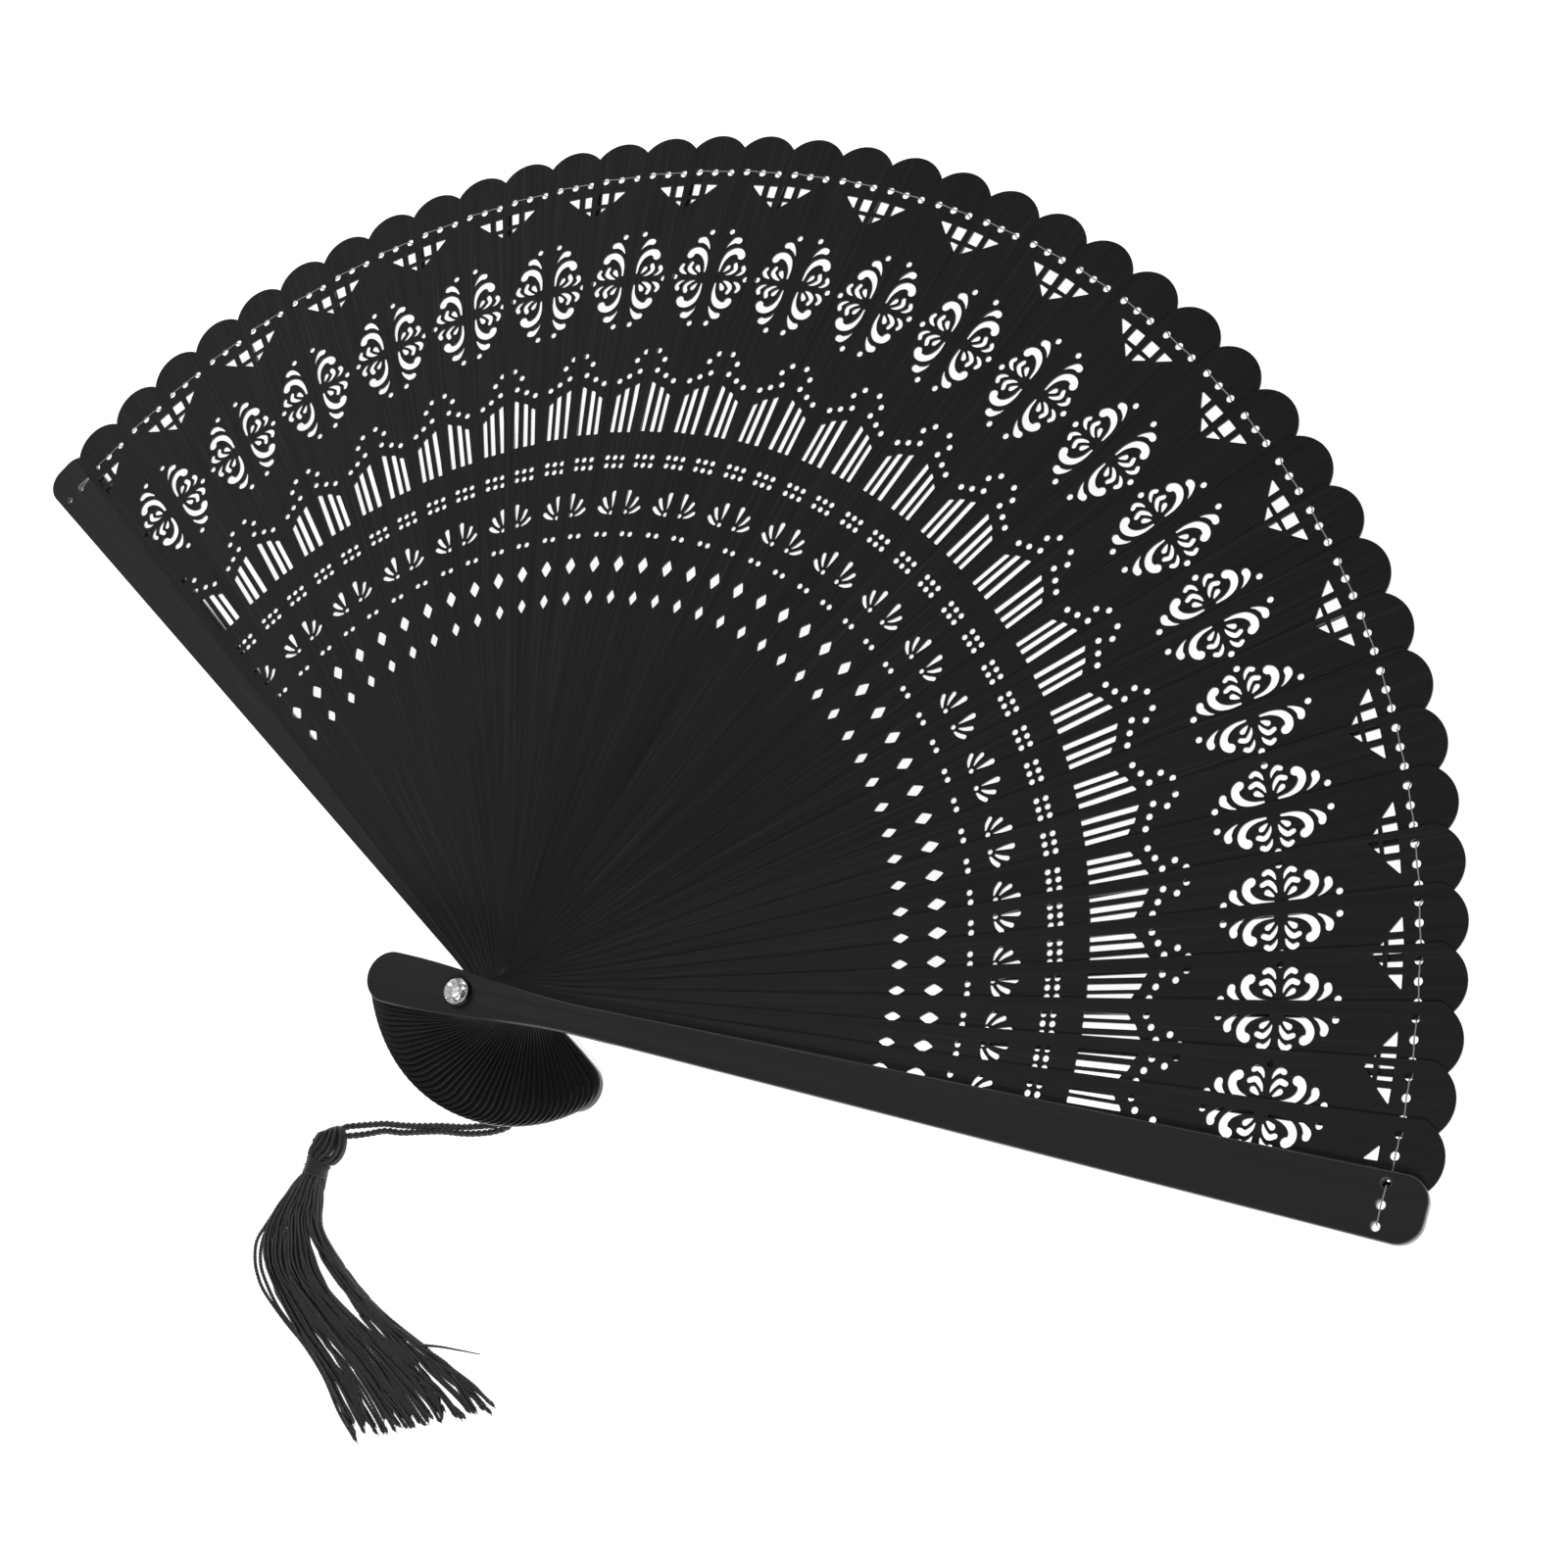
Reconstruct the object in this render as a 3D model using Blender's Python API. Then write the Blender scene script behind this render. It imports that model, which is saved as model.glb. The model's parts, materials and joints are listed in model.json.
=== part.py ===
"""A black wooden brise fan, open, with a twisted cord and a tassel on its rivet.

Forty thin leaves lie one on the next like a spiral stair between two thicker guards, and all of
them turn on one rivet.  The rivet's axis is Z through the origin and its flat rear head stands on
z = 0.  The open fan is symmetric about +Y: the front guard lies to the right, on top of the stack,
and the rear guard to the left, at the bottom.  The tassel lies on the same surface, in front.

Blender 4.5, metres, +Z up.
"""

import math

import bmesh
import bpy
from mathutils import Vector
from mathutils.geometry import tessellate_polygon

MM = 0.001

# The stack on the rivet, from the surface up.
LEAF_COUNT = 40
LEAF_THICKNESS = 0.60 * MM
GUARD_THICKNESS = 2.00 * MM
LEAF_GAP = 0.15 * MM
REAR_HEAD_THICKNESS = 0.80 * MM
HITCH_GROOVE = 1.40 * MM
REAR_GUARD_BOTTOM = REAR_HEAD_THICKNESS + HITCH_GROOVE
FIRST_LEAF_BOTTOM = REAR_GUARD_BOTTOM + GUARD_THICKNESS + LEAF_GAP
LEAF_PITCH = LEAF_THICKNESS + LEAF_GAP
FRONT_GUARD_BOTTOM = FIRST_LEAF_BOTTOM + LEAF_COUNT * LEAF_PITCH

# The open fan's directions, in degrees from +X.
FRONT_GUARD_ANGLE = 15.75
REAR_GUARD_ANGLE = 163.9
# The leaves' even steps run between these two; the guards lie a little inside them.
FIRST_STEP_ANGLE = 15.35
LAST_STEP_ANGLE = 164.65
# The leaves of a fan spread by hand bunch a little: the sizes of three sine waves along the spread.
SPREAD_WAVES = (-1.56, -1.13, -0.97)

# A leaf's outline: r runs out along it from the rivet, and widths are half widths.
HEAD_END = 23.2 * MM
HEAD_HALF_WIDTH = 5.5 * MM
NECK_HALF_WIDTH = 3.0 * MM
HEAD_SHOULDER = -16.0 * MM
NECK_START = 28.0 * MM
LEAF_TIP = 209.2 * MM
LEAF_TIP_RADIUS = 8.0 * MM
LEAF_HALF_WIDTH = 7.4 * MM
LEAF_STRAIGHTNESS = 0.7
GUARD_TIP = 208.5 * MM
GUARD_HALF_WIDTH = 6.5 * MM
GUARD_STRAIGHTNESS = 1.0
GUARD_CORNER_RADIUS = 5.0 * MM
GUARD_CHAMFER = 0.25 * MM

# Holes through every leaf and guard.
BORE_RADIUS = 1.05 * MM
BORE_SIDES = 12
THREAD_HOLE_RADIUS = 0.86 * MM
THREAD_HOLE_SIDES = 6
THREAD_HOLE_SPACING = 4.05 * MM
THREAD_HOLE_DISTANCE = 200.0 * MM

# A leaf's main openings, in millimetres.  Even leaves are mirror images of odd ones.
# Two lozenges on the leaf's axis: the middle's r, the length and the width.
LOZENGES = ((96.3, 3.5, 2.0), (104.1, 4.05, 2.5))
# Three bars side by side: the middle's t, the width, and the end's r at its two corners.
BAR_START = 135.8
BARS = ((1.95, 1.1, 144.7, 145.5), (0.05, 1.2, 146.3, 147.0), (-2.35, 1.2, 147.3, 148.1))
# The lattice near the tip: a square between two triangles.
LATTICE = (
    ((196.9, 1.6), (194.2, -1.4), (197.0, -1.4)),
    ((197.0, -2.8), (194.1, -2.8), (194.1, -5.6), (197.0, -5.6)),
    ((193.3, -2.9), (191.0, -5.6), (193.1, -5.6)),
)

# The rivet.
SHANK_RADIUS = 0.95 * MM
REAR_HEAD_RADIUS = 3.2 * MM
HEAD_CHAMFER = 0.2 * MM
BEZEL_RADIUS = 3.1 * MM
BEZEL_HEIGHT = 1.2 * MM
BEZEL_FLOOR = 0.4 * MM
BEZEL_WALL = 0.3 * MM
BEZEL_GAP = 0.15 * MM
CRYSTAL_RADIUS = 2.7 * MM
CRYSTAL_TABLE_RADIUS = 1.5 * MM
CRYSTAL_BASE_RADIUS = 2.2 * MM
CRYSTAL_HEIGHT = 2.1 * MM
FIT_GAP = 0.1 * MM

# The cord: two strands of it run from the loop round the shank to the tassel.
CORD_DIAMETER = 1.25 * MM
HITCH_TUBE_RADIUS = 0.5 * MM
STRAND_STEP = 2.5 * MM

# Each strand's route, in millimetres, from the hitch to the tassel's head.
INNER_STRAND_ROUTE = (
    (0.00, -2.45, 1.50),
    (0.80, -5.20, 1.48),
    (1.85, -9.10, 0.90),
    (3.25, -14.40, 0.70),
    (4.20, -17.90, 0.70),
    (3.75, -19.90, 0.70),
    (2.50, -21.60, 0.70),
    (0.75, -22.65, 0.70),
    (-4.10, -25.60, 0.70),
    (-9.40, -28.15, 0.70),
    (-14.60, -30.95, 0.70),
    (-18.25, -32.70, 0.70),
    (-21.95, -34.30, 0.70),
    (-25.35, -36.35, 0.70),
    (-28.60, -38.45, 0.95),
    (-30.15, -39.80, 1.65),
)
OUTER_STRAND_ROUTE = (
    (1.35, -2.05, 1.50),
    (2.20, -4.85, 1.48),
    (3.30, -8.75, 0.90),
    (4.95, -13.90, 0.70),
    (6.20, -18.00, 0.70),
    (5.80, -19.80, 0.70),
    (4.70, -21.45, 0.70),
    (2.60, -23.30, 0.70),
    (0.15, -24.95, 0.70),
    (-3.25, -26.80, 0.70),
    (-8.75, -29.20, 0.70),
    (-13.85, -32.10, 0.70),
    (-17.25, -34.05, 0.70),
    (-21.05, -35.65, 0.70),
    (-24.20, -38.00, 0.70),
    (-26.10, -39.45, 0.95),
    (-27.80, -40.75, 1.65),
)

# The tassel's head and binding as cross-sections: centre x, y, z, half width, half height.
TASSEL_HEAD_SECTIONS = (
    (-32.10, -41.75, 2.05, 1.90, 1.20),
    (-31.45, -42.50, 2.35, 3.45, 2.05),
    (-30.45, -45.30, 2.60, 4.45, 2.45),
    (-30.85, -47.40, 2.50, 3.65, 2.40),
    (-30.75, -48.40, 2.45, 3.20, 2.30),
)
TASSEL_BINDING_SECTIONS = (
    (-30.70, -48.90, 2.45, 3.10, 2.30),
    (-30.45, -50.65, 2.40, 2.85, 2.25),
    (-30.05, -52.40, 2.35, 2.75, 2.20),
)
# The skirt's two edges, side by side, with its half height between them.
TASSEL_SKIRT_EDGES = (
    ((-32.60, -53.60), (-26.95, -52.80), 2.05),
    ((-33.50, -57.10), (-24.90, -56.70), 1.90),
    ((-34.60, -62.70), (-21.70, -60.80), 1.70),
    ((-34.00, -67.80), (-15.25, -64.10), 1.50),
    ((-30.75, -73.10), (-7.55, -66.70), 1.30),
    ((-23.65, -77.90), (1.75, -68.50), 1.15),
    ((-14.80, -82.00), (11.80, -69.00), 1.05),
    ((-5.20, -85.50), (22.80, -69.70), 1.00),
    ((4.05, -89.70), (32.80, -70.30), 0.95),
    ((12.25, -93.50), (39.45, -71.30), 0.90),
)
SKIRT_CLEARANCE = 0.1 * MM
SECTION_POINTS = 12

BLACK_WOOD = (0.012, 0.012, 0.013)
DARK_METAL = (0.03, 0.03, 0.032)
CLEAR_GLASS = (0.92, 0.94, 0.97)
BLACK_CORD = (0.010, 0.010, 0.011)


def clear_scene():
    for thing in list(bpy.data.objects):
        bpy.data.objects.remove(thing, do_unlink=True)


def make_material(name, colour, roughness, metallic=0.0, alpha=1.0):
    material = bpy.data.materials.new(name)
    material.use_nodes = True
    shader = material.node_tree.nodes["Principled BSDF"]
    shader.inputs["Base Color"].default_value = (*colour, 1.0)
    shader.inputs["Roughness"].default_value = roughness
    shader.inputs["Metallic"].default_value = metallic
    shader.inputs["Alpha"].default_value = alpha
    return material


def link_object(name, data, material):
    made = bpy.data.objects.new(name, data)
    if material.name not in data.materials:
        data.materials.append(material)
    bpy.context.scene.collection.objects.link(made)
    return made


def mesh_from(name, vertices, faces):
    """A mesh of these vertices and faces, with its faces turned to point outwards."""
    mesh = bpy.data.meshes.new(name)
    shape = bmesh.new()
    points = [shape.verts.new(v) for v in vertices]
    for face in faces:
        shape.faces.new([points[i] for i in face])
    bmesh.ops.recalc_face_normals(shape, faces=shape.faces)
    shape.to_mesh(mesh)
    shape.free()
    return mesh


# ---- outlines: lists of (r, t) points, anticlockwise ----


def circle(radius, sides, centre=(0.0, 0.0)):
    steps = [math.tau * k / sides for k in range(sides)]
    return [(centre[0] + radius * math.cos(a), centre[1] + radius * math.sin(a)) for a in steps]


def arc(centre, radius, start, end, steps):
    """Points of an arc from start to end, in degrees, ends included."""
    angles = [math.radians(start + (end - start) * k / steps) for k in range(steps + 1)]
    return [(centre[0] + radius * math.cos(a), centre[1] + radius * math.sin(a)) for a in angles]


def neck_half_width(r):
    """The round head narrows into the neck along half a cosine wave."""
    along = (r - HEAD_SHOULDER) / (NECK_START - HEAD_SHOULDER)
    swell = (1.0 + math.cos(math.pi * min(max(along, 0.0), 1.0))) / 2.0
    return NECK_HALF_WIDTH + (HEAD_HALF_WIDTH - NECK_HALF_WIDTH) * swell


def blade_half_width(r, end, end_half_width, straightness):
    """The blade widens from the neck to its end along a parabola."""
    along = (r - NECK_START) / (end - NECK_START)
    growth = straightness * along + (1.0 - straightness) * along * along
    return NECK_HALF_WIDTH + (end_half_width - NECK_HALF_WIDTH) * growth


def stick_outline(tip_points, end, end_half_width, straightness):
    """The outline shared by leaves and guards: round head, neck and widening blade."""
    neck = [HEAD_SHOULDER + (NECK_START - HEAD_SHOULDER) * k / 4 for k in range(5)]
    blade = [NECK_START + (end - NECK_START) * k / 5 for k in range(1, 5)]
    side = [(r, neck_half_width(r)) for r in neck]
    side += [(r, blade_half_width(r, end, end_half_width, straightness)) for r in blade]
    head_centre = (HEAD_HALF_WIDTH - HEAD_END, 0.0)
    head = arc(head_centre, HEAD_HALF_WIDTH, 90, 270, 8)
    lower = [(r, -t) for r, t in side]
    return lower + tip_points + side[::-1] + head


def leaf_outline():
    centre = (LEAF_TIP - LEAF_TIP_RADIUS, 0.0)
    reach = math.degrees(math.asin(LEAF_HALF_WIDTH / LEAF_TIP_RADIUS))
    tip = arc(centre, LEAF_TIP_RADIUS, -reach, reach, 10)
    return stick_outline(tip, tip[-1][0], LEAF_HALF_WIDTH, LEAF_STRAIGHTNESS)


def guard_outline():
    corner = (GUARD_TIP - GUARD_CORNER_RADIUS, GUARD_HALF_WIDTH - GUARD_CORNER_RADIUS)
    upper = arc(corner, GUARD_CORNER_RADIUS, 0, 90, 5)
    tip = [(r, -t) for r, t in upper[::-1]] + upper
    return stick_outline(tip, corner[0], GUARD_HALF_WIDTH, GUARD_STRAIGHTNESS)


def stick_holes():
    """The rivet's bore and the three holes for the ribbon thread."""
    row = [(THREAD_HOLE_DISTANCE, side * THREAD_HOLE_SPACING) for side in (-1, 0, 1)]
    thread_holes = [circle(THREAD_HOLE_RADIUS, THREAD_HOLE_SIDES, centre) for centre in row]
    return [circle(BORE_RADIUS, BORE_SIDES)] + thread_holes


def leaf_openings(mirror):
    """The lozenges, bars and lattice cut through a leaf; mirror is 1 on odd leaves, else -1."""
    outlines = []
    for middle, length, width in LOZENGES:
        ends = (middle - length / 2, middle + length / 2)
        outlines.append([(ends[1], 0.0), (middle, width / 2), (ends[0], 0.0), (middle, -width / 2)])
    for middle, width, end, far_end in BARS:
        high, low = middle + width / 2, middle - width / 2
        outlines.append([(BAR_START, low), (far_end, low), (end, high), (BAR_START, high)])
    outlines.extend(LATTICE)
    return [[(r * MM, mirror * t * MM) for r, t in outline] for outline in outlines]


def inset(outline, distance):
    """The outline moved inwards by distance."""
    moved = []
    for k, point in enumerate(outline):
        before = Vector(outline[k - 1])
        after = Vector(outline[(k + 1) % len(outline)])
        run = (after - before).normalized()
        moved.append((point[0] - run.y * distance, point[1] + run.x * distance))
    return moved


def plate(name, outline, holes, bottom, top, chamfer=0.0):
    """A flat plate with holes; its outer rim is chamfered where chamfer is above zero."""
    vertices, faces = [], []

    def add_ring(points, z):
        first = len(vertices)
        vertices.extend((r, t, z) for r, t in points)
        return list(range(first, first + len(points)))

    def add_wall(low, high):
        for k in range(len(low)):
            after = (k + 1) % len(low)
            faces.append((low[k], low[after], high[after], high[k]))

    if chamfer > 0.0:
        small = inset(outline, chamfer)
        rims = [
            add_ring(small, bottom),
            add_ring(outline, bottom + chamfer),
            add_ring(outline, top - chamfer),
            add_ring(small, top),
        ]
    else:
        small = outline
        rims = [add_ring(outline, bottom), add_ring(outline, top)]
    for low, high in zip(rims, rims[1:]):
        add_wall(low, high)
    floor, roof = list(rims[0]), list(rims[-1])
    for hole in holes:
        low, high = add_ring(hole, bottom), add_ring(hole, top)
        add_wall(low, high)
        floor += low
        roof += high
    loops = [[Vector((r, t, 0.0)) for r, t in loop] for loop in [small, *holes]]
    for triangle in tessellate_polygon(loops):
        faces.append(tuple(floor[k] for k in triangle))
        faces.append(tuple(roof[k] for k in triangle))
    return mesh_from(name, vertices, faces)


# ---- solids from sections ----


def turned(name, profile, sides):
    """A solid of revolution about Z; the profile is (radius, z), both ends on the axis."""
    vertices, faces, rings = [], [], []
    for radius, z in profile:
        first = len(vertices)
        if radius == 0.0:
            vertices.append((0.0, 0.0, z))
            rings.append([first] * sides)
        else:
            vertices.extend((x, y, z) for x, y in circle(radius, sides))
            rings.append(list(range(first, first + sides)))
    for low, high in zip(rings, rings[1:]):
        for k in range(sides):
            after = (k + 1) % sides
            corners = [low[k], low[after], high[after], high[k]]
            faces.append(tuple(dict.fromkeys(corners)))
    return mesh_from(name, vertices, faces)


def section(centre, across, half_width, half_height):
    """An upright ellipse whose width runs along across."""
    points = []
    for k in range(SECTION_POINTS):
        a = math.tau * k / SECTION_POINTS
        up = Vector((0.0, 0.0, math.sin(a) * half_height))
        points.append(centre + across * (math.cos(a) * half_width) + up)
    return points


def lofted(name, rings):
    """A closed solid through a row of sections, with flat ends."""
    vertices = [p for ring in rings for p in ring]
    faces = []
    for row in range(len(rings) - 1):
        for k in range(SECTION_POINTS):
            after = (k + 1) % SECTION_POINTS
            low, high = row * SECTION_POINTS, (row + 1) * SECTION_POINTS
            faces.append((low + k, low + after, high + after, high + k))
    last = (len(rings) - 1) * SECTION_POINTS
    faces.append(tuple(range(SECTION_POINTS)))
    faces.append(tuple(range(last, last + SECTION_POINTS)))
    mesh = mesh_from(name, vertices, faces)
    shape = bmesh.new()
    shape.from_mesh(mesh)
    bmesh.ops.triangulate(shape, faces=shape.faces)
    shape.to_mesh(mesh)
    shape.free()
    return mesh


# ---- the fan ----


def spread_angle(step):
    """The direction of stick number step, from the front guard (0) to the rear guard."""
    guards = {0: FRONT_GUARD_ANGLE, LEAF_COUNT + 1: REAR_GUARD_ANGLE}
    if step in guards:
        return math.radians(guards[step])
    along = step / (LEAF_COUNT + 1)
    waves = sum(w * math.sin((k + 1) * math.pi * along) for k, w in enumerate(SPREAD_WAVES))
    even = FIRST_STEP_ANGLE + (LAST_STEP_ANGLE - FIRST_STEP_ANGLE) * along
    return math.radians(even + waves)


def place_stick(name, mesh, material, step, height):
    stick = link_object(name, mesh, material)
    stick.location.z = height
    stick.rotation_euler.z = spread_angle(step)


def make_sticks(wood):
    holes = stick_holes()
    half_guard = GUARD_THICKNESS / 2
    guard = plate("guard", guard_outline(), holes, -half_guard, half_guard, GUARD_CHAMFER)
    half_leaf = LEAF_THICKNESS / 2
    leaves = {}
    for parity, mirror in ((1, 1), (0, -1)):
        cuts = holes + leaf_openings(mirror)
        leaves[parity] = plate("leaf", leaf_outline(), cuts, -half_leaf, half_leaf)
    place_stick("front_guard", guard, wood, 0, FRONT_GUARD_BOTTOM + half_guard)
    place_stick("rear_guard", guard, wood, LEAF_COUNT + 1, REAR_GUARD_BOTTOM + half_guard)
    for number in range(1, LEAF_COUNT + 1):
        bottom = FIRST_LEAF_BOTTOM + (LEAF_COUNT - number) * LEAF_PITCH
        place_stick(f"leaf_{number:02d}", leaves[number % 2], wood, number, bottom + half_leaf)


def make_rivet(metal, glass):
    bezel_bottom = FRONT_GUARD_BOTTOM + GUARD_THICKNESS + BEZEL_GAP
    shank_end = bezel_bottom - FIT_GAP
    pin_profile = (
        (0.0, 0.0),
        (REAR_HEAD_RADIUS - HEAD_CHAMFER, 0.0),
        (REAR_HEAD_RADIUS, HEAD_CHAMFER),
        (REAR_HEAD_RADIUS, REAR_HEAD_THICKNESS - HEAD_CHAMFER),
        (REAR_HEAD_RADIUS - HEAD_CHAMFER, REAR_HEAD_THICKNESS),
        (SHANK_RADIUS, REAR_HEAD_THICKNESS),
        (SHANK_RADIUS, shank_end),
        (0.0, shank_end),
    )
    link_object("rivet_pin", turned("rivet_pin", pin_profile, 24), metal)

    inner = BEZEL_RADIUS - BEZEL_WALL
    bezel_profile = (
        (0.0, 0.0),
        (BEZEL_RADIUS - HEAD_CHAMFER, 0.0),
        (BEZEL_RADIUS, HEAD_CHAMFER),
        (BEZEL_RADIUS, BEZEL_HEIGHT),
        (inner, BEZEL_HEIGHT),
        (inner, BEZEL_FLOOR),
        (0.0, BEZEL_FLOOR),
    )
    bezel = link_object("rivet_front_bezel", turned("bezel", bezel_profile, 24), metal)
    bezel.location.z = bezel_bottom

    crystal = link_object("crystal_front", crystal_mesh(), glass)
    crystal.location.z = bezel_bottom + BEZEL_FLOOR + FIT_GAP


def crystal_mesh():
    """A round brilliant cut with a flat base: table, crown, girdle and base, as one hull."""
    girdle = 0.36 * CRYSTAL_HEIGHT
    middle_radius = (CRYSTAL_TABLE_RADIUS + CRYSTAL_RADIUS) / 2 + 0.15 * MM
    rows = (
        (CRYSTAL_TABLE_RADIUS, CRYSTAL_HEIGHT, 8, 0.0),
        (middle_radius, 0.76 * CRYSTAL_HEIGHT, 8, 0.5),
        (CRYSTAL_RADIUS, girdle + 0.15 * MM, 16, 0.0),
        (CRYSTAL_RADIUS, girdle - 0.15 * MM, 16, 0.0),
        (CRYSTAL_BASE_RADIUS, 0.0, 8, 0.0),
    )
    shape = bmesh.new()
    for radius, z, sides, turn in rows:
        for k in range(sides):
            a = math.tau * (k + turn) / sides
            shape.verts.new((radius * math.cos(a), radius * math.sin(a), z))
    bmesh.ops.convex_hull(shape, input=shape.verts)
    bmesh.ops.recalc_face_normals(shape, faces=shape.faces)
    mesh = bpy.data.meshes.new("crystal")
    shape.to_mesh(mesh)
    shape.free()
    return mesh


# ---- the cord and tassel ----


def smooth_route(route, step):
    """Points about step apart on a smooth curve (Catmull-Rom) through the route's points."""
    knots = [Vector(p) * MM for p in route]
    knots = [2 * knots[0] - knots[1], *knots, 2 * knots[-1] - knots[-2]]
    line = []
    for a, b, c, d in zip(knots, knots[1:], knots[2:], knots[3:]):
        pieces = max(1, round((c - b).length / step))
        for k in range(pieces):
            s = k / pieces
            bend = (2 * a - 5 * b + 4 * c - d) * s * s + (3 * b - a - 3 * c + d) * s**3
            line.append((2 * b + (c - a) * s + bend) / 2)
    line.append(knots[-2])
    return line


def make_strand(name, route, material):
    curve = bpy.data.curves.new(name, "CURVE")
    curve.dimensions = "3D"
    curve.bevel_depth = CORD_DIAMETER / 2
    curve.bevel_resolution = 2
    curve.use_fill_caps = True
    line = smooth_route(route, STRAND_STEP)
    spline = curve.splines.new("POLY")
    spline.points.add(len(line) - 1)
    for point, place in zip(spline.points, line):
        point.co = (*place, 1.0)
    link_object(name, curve, material)


def make_hitch(material):
    """The cord's loop round the rivet's shank, between the rear head and the rear guard."""
    inner = SHANK_RADIUS + FIT_GAP
    bpy.ops.mesh.primitive_torus_add(
        major_segments=20,
        minor_segments=8,
        major_radius=inner + HITCH_TUBE_RADIUS,
        minor_radius=HITCH_TUBE_RADIUS,
        location=(0.0, 0.0, REAR_HEAD_THICKNESS + HITCH_GROOVE / 2),
    )
    hitch = bpy.context.object
    hitch.name = "tassel_hitch"
    hitch.data.materials.append(material)


def sections_along(rows):
    """Upright sections square to the line through their own centres."""
    centres = [Vector(row[:3]) * MM for row in rows]
    rings = []
    for k, row in enumerate(rows):
        before = centres[max(k - 1, 0)]
        after = centres[min(k + 1, len(centres) - 1)]
        run = after - before
        across = Vector((-run.y, run.x, 0.0)).normalized()
        rings.append(section(centres[k], across, row[3] * MM, row[4] * MM))
    return rings


def make_tassel(material):
    head = lofted("tassel_head", sections_along(TASSEL_HEAD_SECTIONS))
    link_object("tassel_head", head, material)
    binding = lofted("tassel_binding", sections_along(TASSEL_BINDING_SECTIONS))
    link_object("tassel_binding", binding, material)
    rings = []
    for left, right, half_height in TASSEL_SKIRT_EDGES:
        height = half_height * MM
        centre_z = height + SKIRT_CLEARANCE
        a = Vector((left[0] * MM, left[1] * MM, centre_z))
        b = Vector((right[0] * MM, right[1] * MM, centre_z))
        rings.append(section((a + b) / 2, (b - a).normalized(), (b - a).length / 2, height))
    link_object("tassel_skirt", lofted("tassel_skirt", rings), material)


def main():
    clear_scene()
    wood = make_material("black_wood", BLACK_WOOD, 0.5)
    metal = make_material("dark_metal", DARK_METAL, 0.3, metallic=1.0)
    glass = make_material("clear_crystal", CLEAR_GLASS, 0.05, alpha=0.35)
    cord = make_material("black_cord", BLACK_CORD, 0.7)
    make_sticks(wood)
    make_rivet(metal, glass)
    make_hitch(cord)
    make_strand("tassel_cord_inner", INNER_STRAND_ROUTE, cord)
    make_strand("tassel_cord_outer", OUTER_STRAND_ROUTE, cord)
    make_tassel(cord)


main()
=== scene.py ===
"""The looks of a black wooden brise fan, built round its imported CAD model.

Each leaf is a thin plate with its fretwork really cut through it, each guard is a thicker plate
with rounded edges, and a ribbon thread is stitched along the rim.  A crystal sits on the rivet, and
a cord of two twisted strands ends in a tassel of fine threads.  Metres, +Z up, in the CAD frame.
"""

import json
from math import asin, atan2, copysign, cos, degrees, hypot, pi, radians, sin, tan, tau

import bmesh
import bpy
import numpy as np
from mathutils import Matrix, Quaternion, Vector
from mathutils.geometry import tessellate_polygon


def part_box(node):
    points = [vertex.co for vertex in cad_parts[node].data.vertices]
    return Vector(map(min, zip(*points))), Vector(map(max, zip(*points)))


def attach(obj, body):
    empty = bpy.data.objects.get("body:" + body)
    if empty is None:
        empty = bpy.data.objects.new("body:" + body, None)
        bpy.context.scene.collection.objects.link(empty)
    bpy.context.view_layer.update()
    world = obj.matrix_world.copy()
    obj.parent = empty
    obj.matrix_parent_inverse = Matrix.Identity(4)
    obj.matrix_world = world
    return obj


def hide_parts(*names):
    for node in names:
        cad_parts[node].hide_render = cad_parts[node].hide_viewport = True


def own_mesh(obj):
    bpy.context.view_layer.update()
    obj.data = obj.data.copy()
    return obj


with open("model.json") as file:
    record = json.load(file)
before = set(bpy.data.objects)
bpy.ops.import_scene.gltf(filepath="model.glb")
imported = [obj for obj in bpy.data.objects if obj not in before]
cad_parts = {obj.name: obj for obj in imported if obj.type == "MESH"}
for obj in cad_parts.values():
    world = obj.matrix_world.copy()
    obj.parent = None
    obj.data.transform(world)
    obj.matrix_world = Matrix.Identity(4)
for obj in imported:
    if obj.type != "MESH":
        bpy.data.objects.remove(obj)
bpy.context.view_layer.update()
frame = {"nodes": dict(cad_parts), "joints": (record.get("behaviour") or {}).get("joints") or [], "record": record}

MM = 0.001
ROOT_BODY = "rear_guard_and_rivet"

# ---- what the frame says ----

COUPLINGS = frame["record"]["behaviour"]["couplings"]
OPENING = next(j["range_deg"][1] for j in frame["joints"] if j["name"] == "fan_spread")
CLOSING_SHARE = {row["joint"]: row["ratio"] for row in COUPLINGS}
LEAVES = sorted(name for name in frame["nodes"] if name.startswith("leaf_"))
REAR_GUARD_DIRECTION = 163.9


def stick_angle(name):
    """The direction of a leaf or guard in the open fan, in radians from +X."""
    shares = {"front_guard": 1.0, "rear_guard": 0.0}
    share = shares.get(name, CLOSING_SHARE.get(f"{name}_hinge"))
    return radians(REAR_GUARD_DIRECTION - OPENING * share)


def stick_heights(name):
    low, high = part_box(name)
    return low.z, high.z


# ---- camera ----

CAMERA_PLACE = (0.3682, 0.0227, 0.6067)
CAMERA_AIM = (0.0324, 0.0718, 0.0200)
CAMERA_ROLL = -52.26
CAMERA_LENS = 74.43


def put_in_scene(name, data):
    thing = bpy.data.objects.new(name, data)
    bpy.context.scene.collection.objects.link(thing)
    return thing


def look_from(place_at, target):
    """The turn that points a camera or a lamp at a target."""
    return (Vector(target) - Vector(place_at)).to_track_quat("-Z", "Y")


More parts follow.
